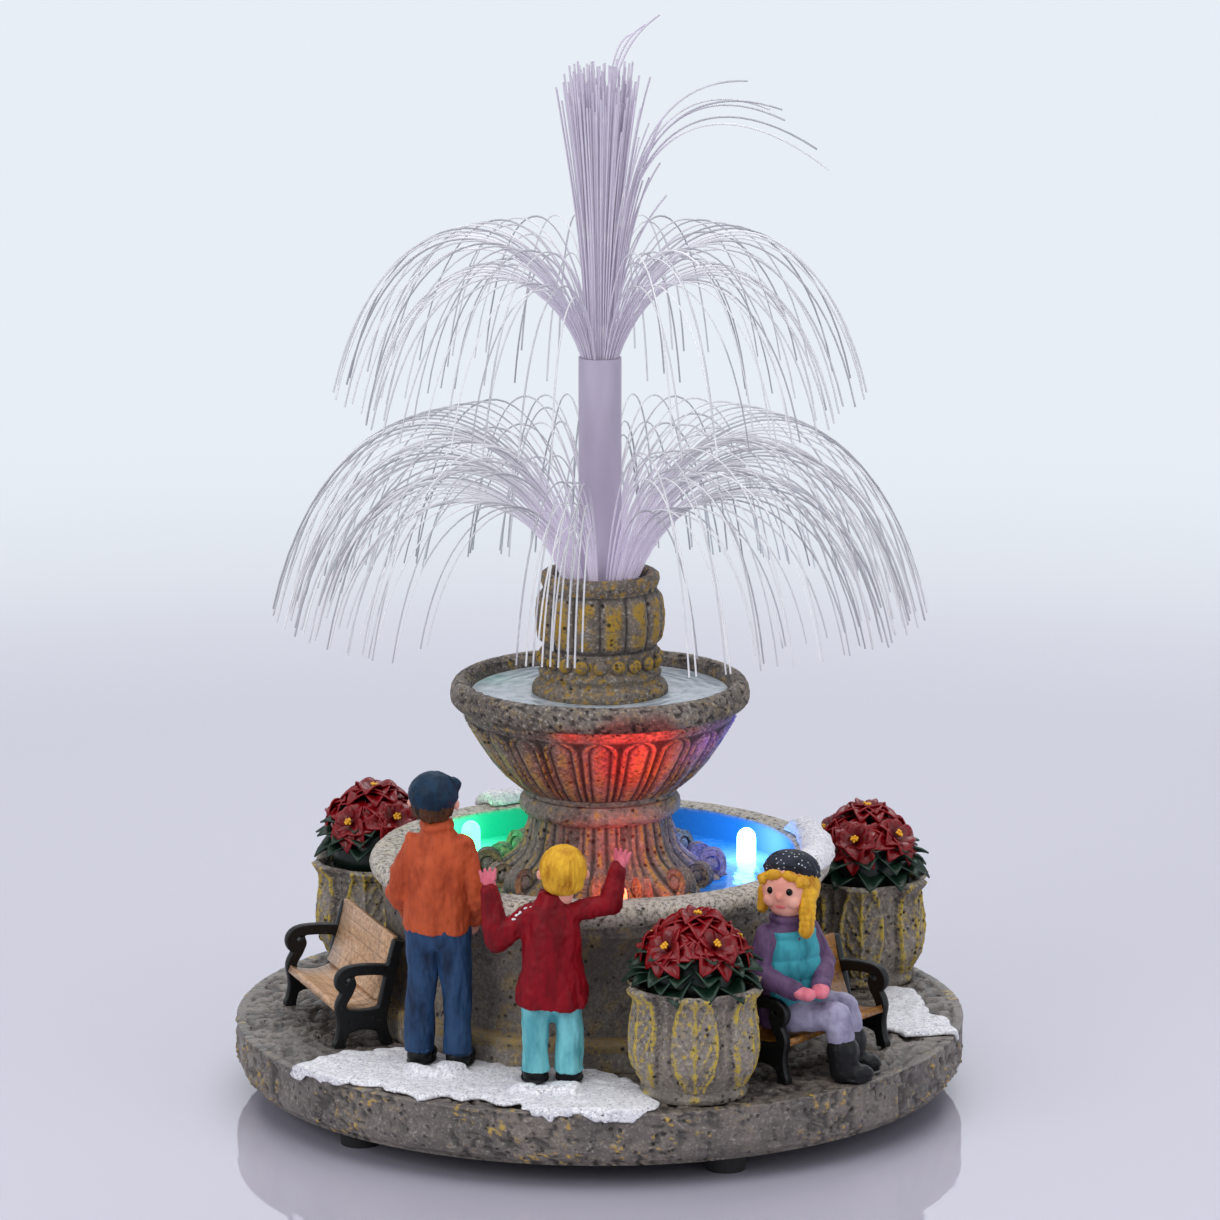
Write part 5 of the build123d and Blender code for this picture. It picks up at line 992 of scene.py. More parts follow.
lampSettings = {
    "profile": [(0.01, 56), (2.5, 56), (2.5, 61.8), (2.3, 63.0), (1.7, 63.9), (0.9, 64.45), (0.01, 64.6)],
    "steps": 36,
    "gap": 0.6,
    "ring": 42.0,
    "turns": {"blue": 24.0, "green": 144.0, "red": -84.0},
}


def makeLamp(name, turn, settings):
    bm = bmesh.new()
    turnProfile(bm, settings["profile"], settings["steps"], settings["gap"])
    bm.transform(Matrix.Translation(ringPoint(settings["ring"], math.radians(turn), 0.0) * mm))
    return addPiece(name + "LampDome", bm, finishes[name + "Lamp"], [name + "_lamp"])


makeGroundSlab(slabSettings)
makePoolWall(poolSettings)
makePedestal(pedestalSettings)
makeBowl(bowlSettings)
makeVase(vaseSettings)
for lampName, lampTurn in lampSettings["turns"].items():
    makeLamp(lampName, lampTurn, lampSettings)
print("stonework and lamps made")


# clear fibres

fibreSettings = {
    "thick": 0.25,
    "cuts": 24,
    # a bunch is its middle, spread, strands in a row, and shares of reach and height
    # a row is where it is rooted in the mouth, and its shares of reach, height and drop
    "lower": {
        "base": 135.9, "bore": 5.55, "outer": 11.05, "reach": 84.0, "apex": 39.0, "drop": 9.0,
        "bunches": [(-10.0, 130.0, 20, 1.0, 1.0), (90.0, 62.0, 9, 1.0, 1.0), (180.0, 108.0, 18, 1.0, 1.0),
                    (-100.0, 14.0, 4, 0.84, 0.78)],
        "rows": [(0.18, 1.0, 1.0, 1.0), (0.5, 0.95, 0.82, 1.1), (0.82, 0.86, 0.6, 0.8)],
    },
    "upper": {
        "base": 192.4, "bore": 3.65, "outer": 4.95, "reach": 68.0, "apex": 31.5, "drop": 9.0,
        "bunches": [(-10.0, 130.0, 14, 1.0, 1.0), (95.0, 60.0, 7, 1.0, 1.0), (190.0, 130.0, 14, 1.0, 1.0)],
        "rows": [(0.26, 1.0, 1.0, 1.0), (0.74, 0.88, 0.7, 1.8)],
    },
    "rise": 0.2,
    "fall": 0.82,
    "loose": 0.3,
    "tuft": {"base": 192.4, "sunk": 4, "roots": 3.5, "top": 10.2, "height": 75.5, "count": 190, "turn": 2.399963},
    "strays": {
        "fan": 35, "reach": 58, "leave": 30,
        "shares": [(0.66, 0.95), (0.8, 0.85), (1.0, 0.64), (0.95, 0.7), (0.82, 0.79), (0.77, 0.82)],
    },
    "frizz": {"count": 16, "turns": (-70, 60), "tips": (0.5, 0.97), "reach": (10.5, 17.5)},
    "tall": {"count": 3, "lean": (15, 3.4), "top": (87.3, 2.4)},
}


def fibreBundle(name, strands, settings, stands):
    # each strand is one curve of two points with their handles
    data = barCurve(name, settings["thick"] * mm, 0, settings["cuts"])
    for points in strands:
        spline = data.splines.new("BEZIER")
        spline.bezier_points.add(1)
        root, rise, fall, tip = [Vector(p) * mm for p in points]
        handles = ((root - (rise - root) * 0.1, root, rise), (fall, tip, tip + (tip - fall) * 0.1))
        for spot, (left, place, right) in zip(spline.bezier_points, handles):
            spot.handle_left_type = spot.handle_right_type = "FREE"
            spot.handle_left, spot.co, spot.handle_right = left, place, right
    bm = finalMesh(addObject(name + "Line", data))
    tone = bm.verts.layers.float.new("tone")
    dice = random.Random(len(strands))
    tones = [dice.random() for _ in strands]
    each = len(bm.verts) // len(strands)
    for index, vert in enumerate(bm.verts):
        vert[tone] = tones[min(index // each, len(tones) - 1)]
    bmesh.ops.recalc_face_normals(bm, faces=bm.faces)
    return addPiece(name, bm, finishes["fibre"], stands)


def archStrand(turn, root, base, reach, apex, drop, rise, fall, sway=0.0):
    # up out of the mouth, over, and hanging at the tip
    handle = (8 * apex + drop) / 6
    return (
        ringPoint(root, turn, base),
        ringPoint(root + (reach - root) * rise, turn, base + handle),
        ringPoint(root + (reach - root) * fall, turn + sway * 0.6, base + handle),
        ringPoint(reach, turn + sway, base - drop),
    )


def sprayStrands(spray, settings, dice):
    # even rows of strands with looser ones between them
    strands = []
    rows, base = spray["rows"], spray["base"]
    rise, fall = settings["rise"], settings["fall"]
    width = spray["outer"] - spray["bore"]
    for centre, spread, count, far, high in spray["bunches"]:
        step = spread / count
        for index in range(count):
            for order, (root, reach, apex, drop) in enumerate(rows):
                turn = centre - spread / 2 + step * (index + order / len(rows))
                reach, apex, drop = spray["reach"] * reach * far, spray["apex"] * apex * high, spray["drop"] * drop
                strands.append(archStrand(
                    math.radians(turn), spray["bore"] + root * width, base, reach, apex, drop, rise, fall
                ))
                if dice.random() < settings["loose"] and far == 1.0:
                    loose = math.radians(turn + step * dice.uniform(0.05, 0.6))
                    strands.append(archStrand(
                        loose, spray["bore"] + (root + dice.uniform(-0.16, 0.16)) * width, base,
                        reach * dice.uniform(0.93, 1.01), apex * dice.uniform(0.86, 1.02),
                        drop * dice.uniform(0.8, 1.3), rise * dice.uniform(0.8, 1.15),
                        fall * dice.uniform(0.96, 1.05), math.radians(dice.uniform(-3.5, 3.5)),
                    ))
    return strands


def tuftStrands(settings, dice):
    # the upright bundle, then strays that arch out of it, frizz at its side and a few tall ones
    strands = []
    tuft, strays, frizz, tall = [settings[key] for key in ("tuft", "strays", "frizz", "tall")]
    base, tuftHeight = tuft["base"], tuft["height"]
    for index in range(tuft["count"]):
        turn = index * tuft["turn"]
        share = math.sqrt((index + 0.5) / tuft["count"])
        root = tuft["roots"] * share
        top = tuft["top"] * share * dice.uniform(0.8, 1.12)
        height = tuftHeight * dice.uniform(0.84, 1.0)
        strands.append((
            ringPoint(root, turn, base - tuft["sunk"]), ringPoint(root, turn, base + height * 0.35),
            ringPoint((root + top) / 2, turn, base + height * 0.66), ringPoint(top, turn, base + height),
        ))
    leave = base + strays["leave"]
    for index, (reachShare, tipShare) in enumerate(strays["shares"]):
        turn = math.radians(strays["fan"] * ((index + 0.5) / len(strays["shares"]) - 0.5))
        reach = strays["reach"] * reachShare
        strands.append((
            ringPoint(3.2, turn, base), ringPoint(3.8, turn, base + 12), ringPoint(5.0, turn, base + 22),
            ringPoint(6.0, turn, leave),
        ))
        strands.append((
            ringPoint(6.0, turn, leave), ringPoint(8.6, turn, leave + 26), ringPoint(reach * 0.48, turn, base + 72),
            ringPoint(reach, turn, base + tuftHeight * tipShare),
        ))
    for _ in range(frizz["count"]):
        turn = math.radians(dice.uniform(*frizz["turns"]))
        tip = tuftHeight * dice.uniform(*frizz["tips"])
        strands.append((
            ringPoint(4.4, turn, base + 10), ringPoint(5.6, turn, base + tip * 0.45),
            ringPoint(8.0, turn, base + tip * 0.75), ringPoint(dice.uniform(*frizz["reach"]), turn, base + tip),
        ))
    for index in range(tall["count"]):
        lean, top = [start - index * step for start, step in (tall["lean"], tall["top"])]
        strands.append((
            (0.5, 0, base + 40), (1.5, index * 0.2, base + 72), (lean * 0.4, index * 0.2, base + 81),
            (lean, index * 0.3, base + top),
        ))
    return strands


def makeFibres(settings):
    dice = random.Random(11)
    for key in ("lower", "upper"):
        fibreBundle(key + "Fibres", sprayStrands(settings[key], settings, dice), settings, [key + "_spray"])
    fibreBundle("tuftFibres", tuftStrands(settings, dice), settings, ["top_tuft"])


makeFibres(fibreSettings)
print("fibres drawn")


# planters and their flowers

planterPlaces = {"left": 140.3, "front": -72.5, "right": 25.3}
planterSettings = {
    "ring": 77.5,
    "profile": [
        (0.01, 0), (13.4, 0), (13.6, 1.2), (13.2, 2.4), (12.5, 3.2), (13.4, 5.2), (14.7, 8), (15.3, 11.5), (15.2, 15.5),
        (14.6, 20), (14.3, 23.4), (14.7, 25.4), (15.9, 26.8), (16.7, 27.6), (16.3, 28.4), (15.4, 28.2), (14.4, 27.2),
        (13.9, 25.5), (0.01, 25.5),
    ],
    "leaves": 6,
    "cuts": 52,
    "height": 28.5,
    "leafWidth": [(-0.1, 0.12), (0.12, 0.2), (0.3, 0.32), (0.5, 0.37), (0.68, 0.37), (0.82, 0.32), (0.92, 0.24),
                  (1.1, 0.12)],
}


def planterRelief(phase, level, widths):
    # height of the leaf over the pot in millimetres, and how far the paint brush reaches it, a low value giving painted
    # shade
    for (low, first), (high, second) in zip(widths, widths[1:]):
        if low <= level <= high:
            half = first + (second - first) * smoothStep(level, low, high)
    inside = (half - abs(phase)) / 0.39
    if inside < -0.06:
        strip = ridge(0.5 - abs(phase), 0.0, 0.06) * smoothStep(level, 0.2, 0.4)
        return -0.7 + 0.6 * strip, 0.3 + 0.12 * strip
    edge = ridge(inside, 0.1, 0.1)
    rib = ridge(phase, 0, 0.024)
    vein = max(0.0, math.sin((level * 5.0 - abs(phase) * 6.0) * fullTurn)) * smoothStep(inside, 0.16, 0.3)
    body = smoothStep(inside, -0.06, 0.1) * 0.7 + 0.5 * smoothStep(inside, 0.2, 0.9)
    rise = body + 0.7 * edge + 0.7 * rib + 0.3 * vein
    return rise, min(1.0, 0.38 + 0.7 * edge + 0.7 * rib + 0.3 * vein - 0.35 * smoothStep(inside, 0.02, -0.06))


def makePlanter(name, turn, settings):
    def carve(vert, r, z):
        rough = roundNoise(vert.co / mm, 0.5, turn)
        if r <= 12.3 or not 0.1 < z < 28.2:
            return 0.4 + rough * 0.4
        phase = turnPhase(vert.co, settings["leaves"])
        if z <= 3.0:
            curl = ridge(abs(phase), 0.0, 0.16) * ridge(z, 1.6, 1.3)
            pushOut(vert, 0.7 * curl + rough * 0.2)
            return 0.25 + 0.6 * curl
        level = z / settings["height"]
        outer = smoothStep(r, 14.1, 14.5) if z > 25.6 else 1.0
        rise, paint = planterRelief(phase + rough * 0.02, level + rough * 0.03, settings["leafWidth"])
        fleck = smoothStep(roundNoise(vert.co / mm, 0.9, 5.0), 0.2, 0.4)
        lip = smoothStep(level, 0.84, 0.97) * (0.5 - 1.7 * smoothStep(abs(phase), 0.2, 0.5))
        pushOut(vert, (rise * (1 - 0.6 * smoothStep(level, 0.9, 1.0)) + lip) * outer + rough * 0.2)
        return min(1.0, paint + 0.3 * fleck)

    steps = settings["leaves"] * settings["cuts"]
    bm = carveTurned(settings["profile"], steps, lambda r, z: 0.42 if r > 12 and z < 28 else 3.0, carve)
    place = ringPoint(settings["ring"], math.radians(turn), slabTop) * mm
    bm.transform(Matrix.Translation(place) @ turned(-90 if name == "front" else turn))
    return addPiece(name + "PlanterCarved", bm, finishes["planter"], [name + "_planter"])


flowerSettings = {
    "ring": 77.5,
    "base": 46.6,
    "lowest": 45.2,
    "dome": (13.0, 17.0),
    "lift": {"left": 2.6, "right": 0.8, "front": 0.0},
    # each bloom's tilt, heading and size; its rings of petals as count, length, cup and start
    "tilts": [(6, 40, 1.12), (46, 18, 1.04), (50, 88, 1.0), (45, 160, 1.04), (49, 232, 1.04), (47, 304, 1.02)],
    "rings": [(8, 8.8, 0.14, 0.0), (7, 8.8 * 0.72, 0.42, 0.4)],
    "wide": 2.7,
    "petalThick": 0.42,
    # each ring of leaves as count, length, width, reach, rise and tilt
    "leaves": [(13, 11.0, 4.0, 7.4, 2.8, 2), (12, 10.6, 3.8, 7.2, 4.6, -14), (11, 9.0, 3.2, 7.2, 6.6, -28)],
    "leafThick": 0.4,
    "stamen": 0.45,
    "heartDown": -3.0,
}


def petalSheet(bm, layer, length, wide, cup):
    def shape(u, v):
        half = wide * (math.sin(math.pi * (0.06 + 0.94 * u) ** 0.85) ** 0.8 if u < 0.999 else 0.02)
        dish = (0.3 * v * v - 0.16 * ridge(v, 0, 0.25)) * half
        place = Vector((length * u, v * half, cup * length * math.sin(u * 1.9) - 0.3 * length * u ** 3 + dish))
        return place * mm, min(1.0, 0.15 + 0.55 * u + 0.35 * ridge(abs(v), 1.0, 0.35))

    return bendSheet(bm, 7, 6, shape, layer)


def flowerHeart(width, height, down):
    # the dark middle that the blooms sit on, cut flat below
    heart = bmesh.new()
    matrix = Matrix.Diagonal(((width - 1.0) * mm, (width - 1.0) * mm, (height - 1.2) * mm, 1.0))
    bmesh.ops.create_uvsphere(heart, u_segments=24, v_segments=14, radius=1.0, matrix=matrix)
    bmesh.ops.bisect_plane(
        heart, geom=heart.verts[:] + heart.edges[:] + heart.faces[:], plane_co=(0, 0, down * mm),
        plane_no=(0, 0, 1), clear_inner=True,
    )
    bmesh.ops.holes_fill(heart, edges=heart.edges)
    return heart


def makeFlowers(name, turn, settings):
    place = ringPoint(settings["ring"], math.radians(turn), settings["base"] + settings["lift"][name]) * mm
    width, height = settings["dome"]
    petals, stamens, leaves = [bmesh.new() for _ in range(3)]
    petalRim = petals.verts.layers.float.new("rim")
    leafRim = leaves.verts.layers.float.new("rim")
    dice = random.Random(int(turn) + 500)
    for tilt, spin, size in settings["tilts"]:
        lean = math.radians(tilt + dice.uniform(-4, 4))
        heading = math.radians(spin + dice.uniform(-6, 6))
        seat = Vector((width * math.sin(lean), 0, height * math.cos(lean))) * mm
        stand = Matrix.Rotation(heading, 4, "Z") @ Matrix.Translation(seat) @ Matrix.Rotation(lean, 4, "Y")
        for count, length, cup, start in settings["rings"]:
            for index in range(count):
                angle = fullTurn * (index + start) / count + dice.uniform(-0.12, 0.12)
                fresh = petalSheet(
                    petals, petalRim, length * size * dice.uniform(0.86, 1.0), settings["wide"] * size,
                    cup * dice.uniform(0.8, 1.25),
                )
                bmesh.ops.transform(petals, matrix=stand @ Matrix.Rotation(angle, 4, "Z"), verts=fresh)
        for index in range(7):
            # six stamens round one in the middle
            bead = ringPoint(0.0 if index == 6 else 0.75, fullTurn * index / 6, 2.3 + dice.uniform(-0.2, 0.4)) * mm
            bmesh.ops.create_icosphere(
                stamens, subdivisions=1, radius=settings["stamen"] * mm, matrix=stand @ Matrix.Translation(bead)
            )
    for count, length, wide, reach, rise, tilt in settings["leaves"]:
        for index in range(count):
            angle = fullTurn * (index + dice.uniform(-0.25, 0.25)) / count
            fresh = petalSheet(leaves, leafRim, length * dice.uniform(0.85, 1.0), wide, 0.16)
            stand = Matrix.Rotation(angle, 4, "Z") @ Matrix.Translation(Vector((reach, 0, rise)) * mm)
            stand = stand @ turned(tilt + dice.uniform(-9, 9), "Y")
            bmesh.ops.transform(leaves, matrix=stand @ Matrix.Rotation(dice.uniform(-0.4, 0.4), 4, "X"), verts=fresh)
    thicken(leaves, settings["leafThick"] * mm)
    thicken(petals, settings["petalThick"] * mm)
    takeIn(leaves, flowerHeart(width, height, settings["heartDown"]))
    for bm in (petals, stamens, leaves):
        bm.transform(Matrix.Translation(place) @ turned(turn))
        flatBelow(bm, settings["lowest"] * mm)
    addPiece(name + "Blooms", petals, finishes["petal"], [name + "_flowers"])
    addPiece(name + "Stamens", stamens, finishes["stamen"])
    addPiece(name + "Leaves", leaves, finishes["leaf"])


for potName, potTurn in planterPlaces.items():
    makePlanter(potName, potTurn, planterSettings)
    makeFlowers(potName, potTurn, flowerSettings)
print("planters and flowers made")


# snow, from the solids of the heaps

snowSettings = {
    "names": {"front_snow": "frontDrift", "right_snow": "rightDrift", "rim_snow": "rimDrift"},
    "voxel": 0.6,
    "smoothing": {"front_snow": 3, "right_snow": 3, "rim_snow": 24},
    "ragged": {"front_snow": 2.6, "right_snow": 2.2, "rim_snow": 1.0},
    "lumps": 0.45,
    "spread": 2.6,
    "edge": 94.95,
    "drip": 2.2,
    "mounds": {
        "front_snow": [(-46.4, -62.6, 4.2), (-37.6, -62.2, 4.6), (-17.8, -78.2, 3.8), (-7.6, -78.4, 4.4),
                       (-42.0, -65.2, 3.2), (-13.0, -80.0, 3.0)],
    },
}


def makeSnow(node, name, settings):
    bm = bmesh.new()
    bm.from_mesh(cadNodes[node].data)
    bmesh.ops.remove_doubles(bm, verts=bm.verts, dist=1e-6)
    floor = min(v.co.z for v in bm.verts)
    for x, y, size in settings["mounds"].get(node, []):
        matrix = Matrix.Translation((x * mm, y * mm, floor + 1.3 * mm))
        matrix = matrix @ Matrix.Diagonal((size * mm, size * 0.8 * mm, size * 0.6 * mm, 1.0))
        bmesh.ops.create_uvsphere(bm, u_segments=20, v_segments=12, radius=1.0, matrix=matrix)
    bm = meldMesh(bm, settings["voxel"] * mm, settings["smoothing"][node])
    bm.normal_update()
    for vert in bm.verts:
        spot = vert.co / mm
        rough = roundNoise(spot, 0.3) * 0.8 + roundNoise(spot, 0.9, 2.0) * 0.16
        ragged = Vector((noise.noise(spot * 0.2), noise.noise(spot * 0.2 + Vector((40, 0, 0))), 0.0))
        if vert.normal.z > 0.2:
            vert.co.z += settings["lumps"] * rough * mm
        vert.co += ragged * settings["ragged"][node] * mm
        vert.co.z = max(vert.co.z, floor)
        # out to the slab's edge, and over it here and there
        reach = math.hypot(vert.co.x, vert.co.y) / mm
        outer = reach + settings["spread"] * smoothStep(reach, 88.0, 92.5)
        if outer > reach:
            outer = min(outer, settings["edge"])
            hang = smoothStep(roundNoise(Vector((spot.x, spot.y, 0)), 0.16, 12.0), -0.5, 0.4)
            drip = smoothStep(outer, 93.4, 94.9) * smoothStep(vert.co.z / mm, floor / mm + 1.4, floor / mm)
            vert.co.x *= outer / reach
            vert.co.y *= outer / reach
            vert.co.z -= settings["drip"] * hang * drip * mm
    return addPiece(name, bm, finishes["snow"], [node])


for snowNode, snowName in snowSettings["names"].items():
    makeSnow(snowNode, snowName, snowSettings)
print("snow laid")


# benches

benchSettings = {
    "length": 45.0,
    "endThick": 2.4,
    "barThick": 1.62,
    "bars": [
        [(6.3, 0.4), (5.6, 2.4), (5.0, 5.2), (5.2, 8.4), (6.0, 10.6), (5.2, 12.8), (3.6, 14.6), (3.4, 15.8)],
        [(-6.4, 0.4), (-5.6, 2.6), (-5.0, 5.4), (-5.2, 8.6), (-6.2, 12.0), (-7.6, 19.0), (-9.4, 25.2), (-9.9, 26.8)],
        [(-5.4, 8.7), (-2.4, 7.9), (2.2, 7.9), (5.4, 8.9)],
        [(-7.7, 19.2), (-4.0, 19.9), (1.4, 20.2), (4.6, 19.8), (6.1, 18.0), (5.6, 15.8), (3.7, 15.2), (2.6, 16.4),
         (3.4, 17.5)],
        [(-5.3, 4.4), (-2.0, 6.2), (2.0, 6.2), (5.2, 4.4)],
    ],
    "feet": (6.2, -6.3),
    "footSize": (2.2, 3.0, 1.5),
    "skin": (0.32, 2),
    "boards": 5,
    # three points of the curve and the thickness, inward for the seat
    "seat": ((-4.9, 11.1), (0, 9.7), (6.3, 11.1), -1.8),
    "back": ((-5.2, 11.0), (-8.2, 18.8), (-10.2, 27.4), 1.6),
}
benchPlaces = {"left": (69.3, -169.0, -160.0), "right": (71.7, -40.7, -37.9)}


def castBars(settings):
    # one cast end, its bars flattened to the thickness of the casting
    data = barCurve("bars", settings["barThick"], 3, 5)
    for bar in settings["bars"]:
        spline = data.splines.new("NURBS")
        spline.points.add(len(bar) - 1)
        for point, (y, z) in zip(spline.points, bar):
            point.co = (0, y, z, 1)
        spline.order_u = 4
        spline.use_endpoint_u = True
    bm = finalMesh(addObject("bars", data))
    for foot in settings["feet"]:
        matrix = Matrix.Translation((0, foot, 0.75)) @ Matrix.Diagonal((*settings["footSize"], 1))
        bmesh.ops.create_cube(bm, size=1.0, matrix=matrix)
    bm = meldMesh(bm, *settings["skin"])
    flatBelow(bm, 0.02)
    half = settings["endThick"] / 2
    for vert in bm.verts:
        vert.co.x = max(-half, min(half, vert.co.x * 1.25))
    return bm


def benchPanel(settings, key):
    start, middle, end, thick = settings[key]
    half = settings["length"] / 2 - settings["endThick"]
    bend = [2 * m - (a + b) / 2 for a, m, b in zip(start, middle, end)]
    bm = bmesh.new()
    groove = bm.verts.layers.float.new("groove")

    def shape(u, v):
        s = 1 - u
        y, z = [a * s * s + 2 * m * s * u + b * u * u for a, m, b in zip(start, bend, end)]
        board = (u * settings["boards"]) % 1.0
        line = max(ridge(board, 0.0, 0.05), ridge(board, 1.0, 0.05)) if 0.02 <= u <= 0.98 else 0.0
        return Vector((v * half, y, z - 0.05 * line)), line

    bendSheet(bm, 60, 4, shape, groove)
    thicken(bm, thick)
    return bm


def makeBench(name, placing, settings):
    ends = bmesh.new()
    for side in (-1, 1):
        bar = castBars(settings)
        bmesh.ops.translate(bar, verts=bar.verts, vec=(side * (settings["length"] - settings["endThick"]) / 2, 0, 0))
        takeIn(ends, bar)
    ends.transform(placing)
    addPiece(name + "BenchCast", ends, finishes["cast"], [name + "_bench_ends"])
    for key in ("seat", "back"):
        panel = benchPanel(settings, key)
        panel.transform(placing)
        stands = [name + "_bench_" + key]
        addPiece(name + "Bench" + key.capitalize(), panel, finishes[name + "Wood"], stands)


for benchName, benchPlace in benchPlaces.items():
    makeBench(benchName, standAt(*benchPlace), benchSettings)
print("benches made")


# figures

paints = {
    "orange": paintFinish("orangeJacket", shade(192, 86, 50), shade(156, 62, 34)),
    "navy": paintFinish("navyTrousers", shade(44, 72, 108), shade(22, 38, 62)),
    "cap": paintFinish("blueCap", shade(21, 50, 74), shade(12, 29, 46), 0.9),
    "brownHair": paintFinish("brownHair", shade(84, 54, 34), shade(44, 28, 18), 1.0),
    "skin": paintFinish("skin", shade(238, 176, 158), shade(222, 146, 130), 0.2),
    "black": paintFinish("blackShoes", shade(24, 24, 26), shade(10, 10, 12), 0.5, 0.3),
    "crimson": paintFinish("crimsonCoat", shade(134, 5, 23), shade(96, 2, 14)),
    "aqua": paintFinish("aquaTrousers", shade(128, 206, 214), shade(88, 166, 178)),
    "goldHair": paintFinish("goldHair", shade(230, 178, 52), shade(178, 118, 24), 1.0),
    "pink": paintFinish("pinkMittens", shade(228, 130, 146), shade(196, 92, 110), 0.3),
    "beanie": paintFinish("darkBeanie", shade(46, 50, 62), shade(22, 24, 32), 0.9, 0.5, 900.0),
    "purple": paintFinish("purpleJacket", shade(104, 78, 112), shade(66, 46, 76)),
    "teal": paintFinish("tealVest", shade(66, 164, 178), shade(38, 116, 132)),
    "lilac": paintFinish("lilacTrousers", shade(164, 160, 186), shade(128, 122, 150)),
    "eye": paintFinish("eyeBlack", shade(16, 14, 14), shade(8, 6, 6), 0.1, 0.15),
    "lip": paintFinish("lipRose", shade(206, 104, 108), shade(188, 88, 94), 0.1),
    "frost": finishes["snow"],
}


def addBall(bm, centre, size, turn=None):
    matrix = Matrix.Translation(centre) @ (turn or Matrix.Identity(4)) @ Matrix.Diagonal((*size, 1.0))
    bmesh.ops.create_uvsphere(bm, u_segments=28, v_segments=18, radius=1.0, matrix=matrix)


def addLimb(bm, points, radii):
    points = [Vector(p) for p in points]
    for start, end, low, high in zip(points, points[1:], radii, radii[1:]):
        run = end - start
        matrix = Matrix.Translation((start + end) / 2) @ run.to_track_quat("Z", "Y").to_matrix().to_4x4()
        bmesh.ops.create_cone(
            bm, cap_ends=True, segments=24, radius1=low, radius2=high, depth=run.length, matrix=matrix
        )
    for point, radius in zip(points, radii):
        addBall(bm, point, (radius, radius, radius))


def bodyLimb(bm, size, rows, side=1):
    # rows of place and radius in body heights, on one side or mirrored to the other
    points = [(side * x * size, y * size, z * size) for x, y, z, _ in rows]
    addLimb(bm, points, [row[3] * size for row in rows])
    return points


def addStack(bm, size, rows):
    # rows of height, half width and half depth, spun and pressed to its depth
    part = bmesh.new()
    outline = [(0.0001, rows[0][0])] + [(x, z) for z, x, _ in rows] + [(0.0001, rows[-1][0])]
    spinLine(part, cutOutline(outline, 0.012), 40, 0, 1e-5)
    for vert in part.verts:
        for (lowZ, lowX, lowY), (highZ, highX, highY) in zip(rows, rows[1:]):
            if lowZ - 1e-6 <= vert.co.z <= highZ + 1e-6:
                t = (vert.co.z - lowZ) / (highZ - lowZ)
                vert.co.y *= (lowY + (highY - lowY) * t) / (lowX + (highX - lowX) * t)
                break
    bmesh.ops.scale(part, vec=(size, size, size), verts=part.verts)
    takeIn(bm, part)


def headForm(head, rows, twins=(), turn=None, skin=None):
    # rows of place and size, in head widths and heights; twins stand on both sides
    z, x, h = head
    bm = bmesh.new()
    both = [(side * cx, *rest) for cx, *rest in twins for side in (-1, 1)]
    for cx, cy, cz, sx, sy, sz in [*rows, *both]:
        addBall(bm, (x * cx, x * cy, z + h * cz), (x * sx, x * sy, h * sz), turn)
    return meldMesh(bm, *skin) if skin else bm


def crease(bm, depth, scale, stretch=(1, 1, 0.45), seed=0.0):
    # soft folds pressed in along each point's normal
    bm.normal_update()
    for vert in bm.verts:
        spot = Vector([c * s for c, s in zip(vert.co, stretch)])
        vert.co += vert.normal * depth * (roundNoise(spot, scale, seed) - 0.1)


def addShoe(bm, x, y, length, width, height, bottom=0.0):
    addBall(bm, (x, y + length * 0.16, bottom + height * 0.38), (width * 0.5, length * 0.36, height * 0.42))
    addBall(bm, (x, y - length * 0.2, bottom + height * 0.45), (width * 0.44, length * 0.27, height * 0.55))
    addBall(bm, (x, y, bottom + height * 0.12), (width * 0.52, length * 0.5, height * 0.14))


def addHand(bm, wrist, reach, radius, side, fingers):
    # a palm with four fingers and a thumb, or a mitten
    wrist, reach = Vector(wrist), Vector(reach).normalized()
    across = reach.cross(Vector((0, 1, 0))).normalized()
    palm = wrist + reach * radius * 0.7
    turn = reach.to_track_quat("Z", "Y").to_matrix().to_4x4()
    addBall(bm, palm, (radius * 0.85, radius * 0.6, radius * 1.05), turn)
    if not fingers:
        addBall(bm, palm + reach * radius * 0.6, (radius * 0.8, radius * 0.6, radius * 0.8), turn)
        return
    for index in range(4):
        spread = (index - 1.5) * 0.42
        root = palm + reach * radius * 0.6 + across * radius * spread
        tip = root + (reach + across * spread * 0.35).normalized() * radius * (1.25 - 0.12 * abs(index - 1.5))
        addLimb(bm, [root, tip], [radius * 0.24, radius * 0.19])
    thumb = palm + across * radius * 0.75 * -side
    addLimb(bm, [palm, thumb + reach * radius * 0.55], [radius * 0.3, radius * 0.22])


def finishFigure(parts, placing, stands, first):
    # parts are name, mesh and paint; the first one stands for the solid
    for name, bm, paint in parts:
        bm.transform(placing)
        addPiece(name, bm, paints[paint], [stands] if name == first else ())


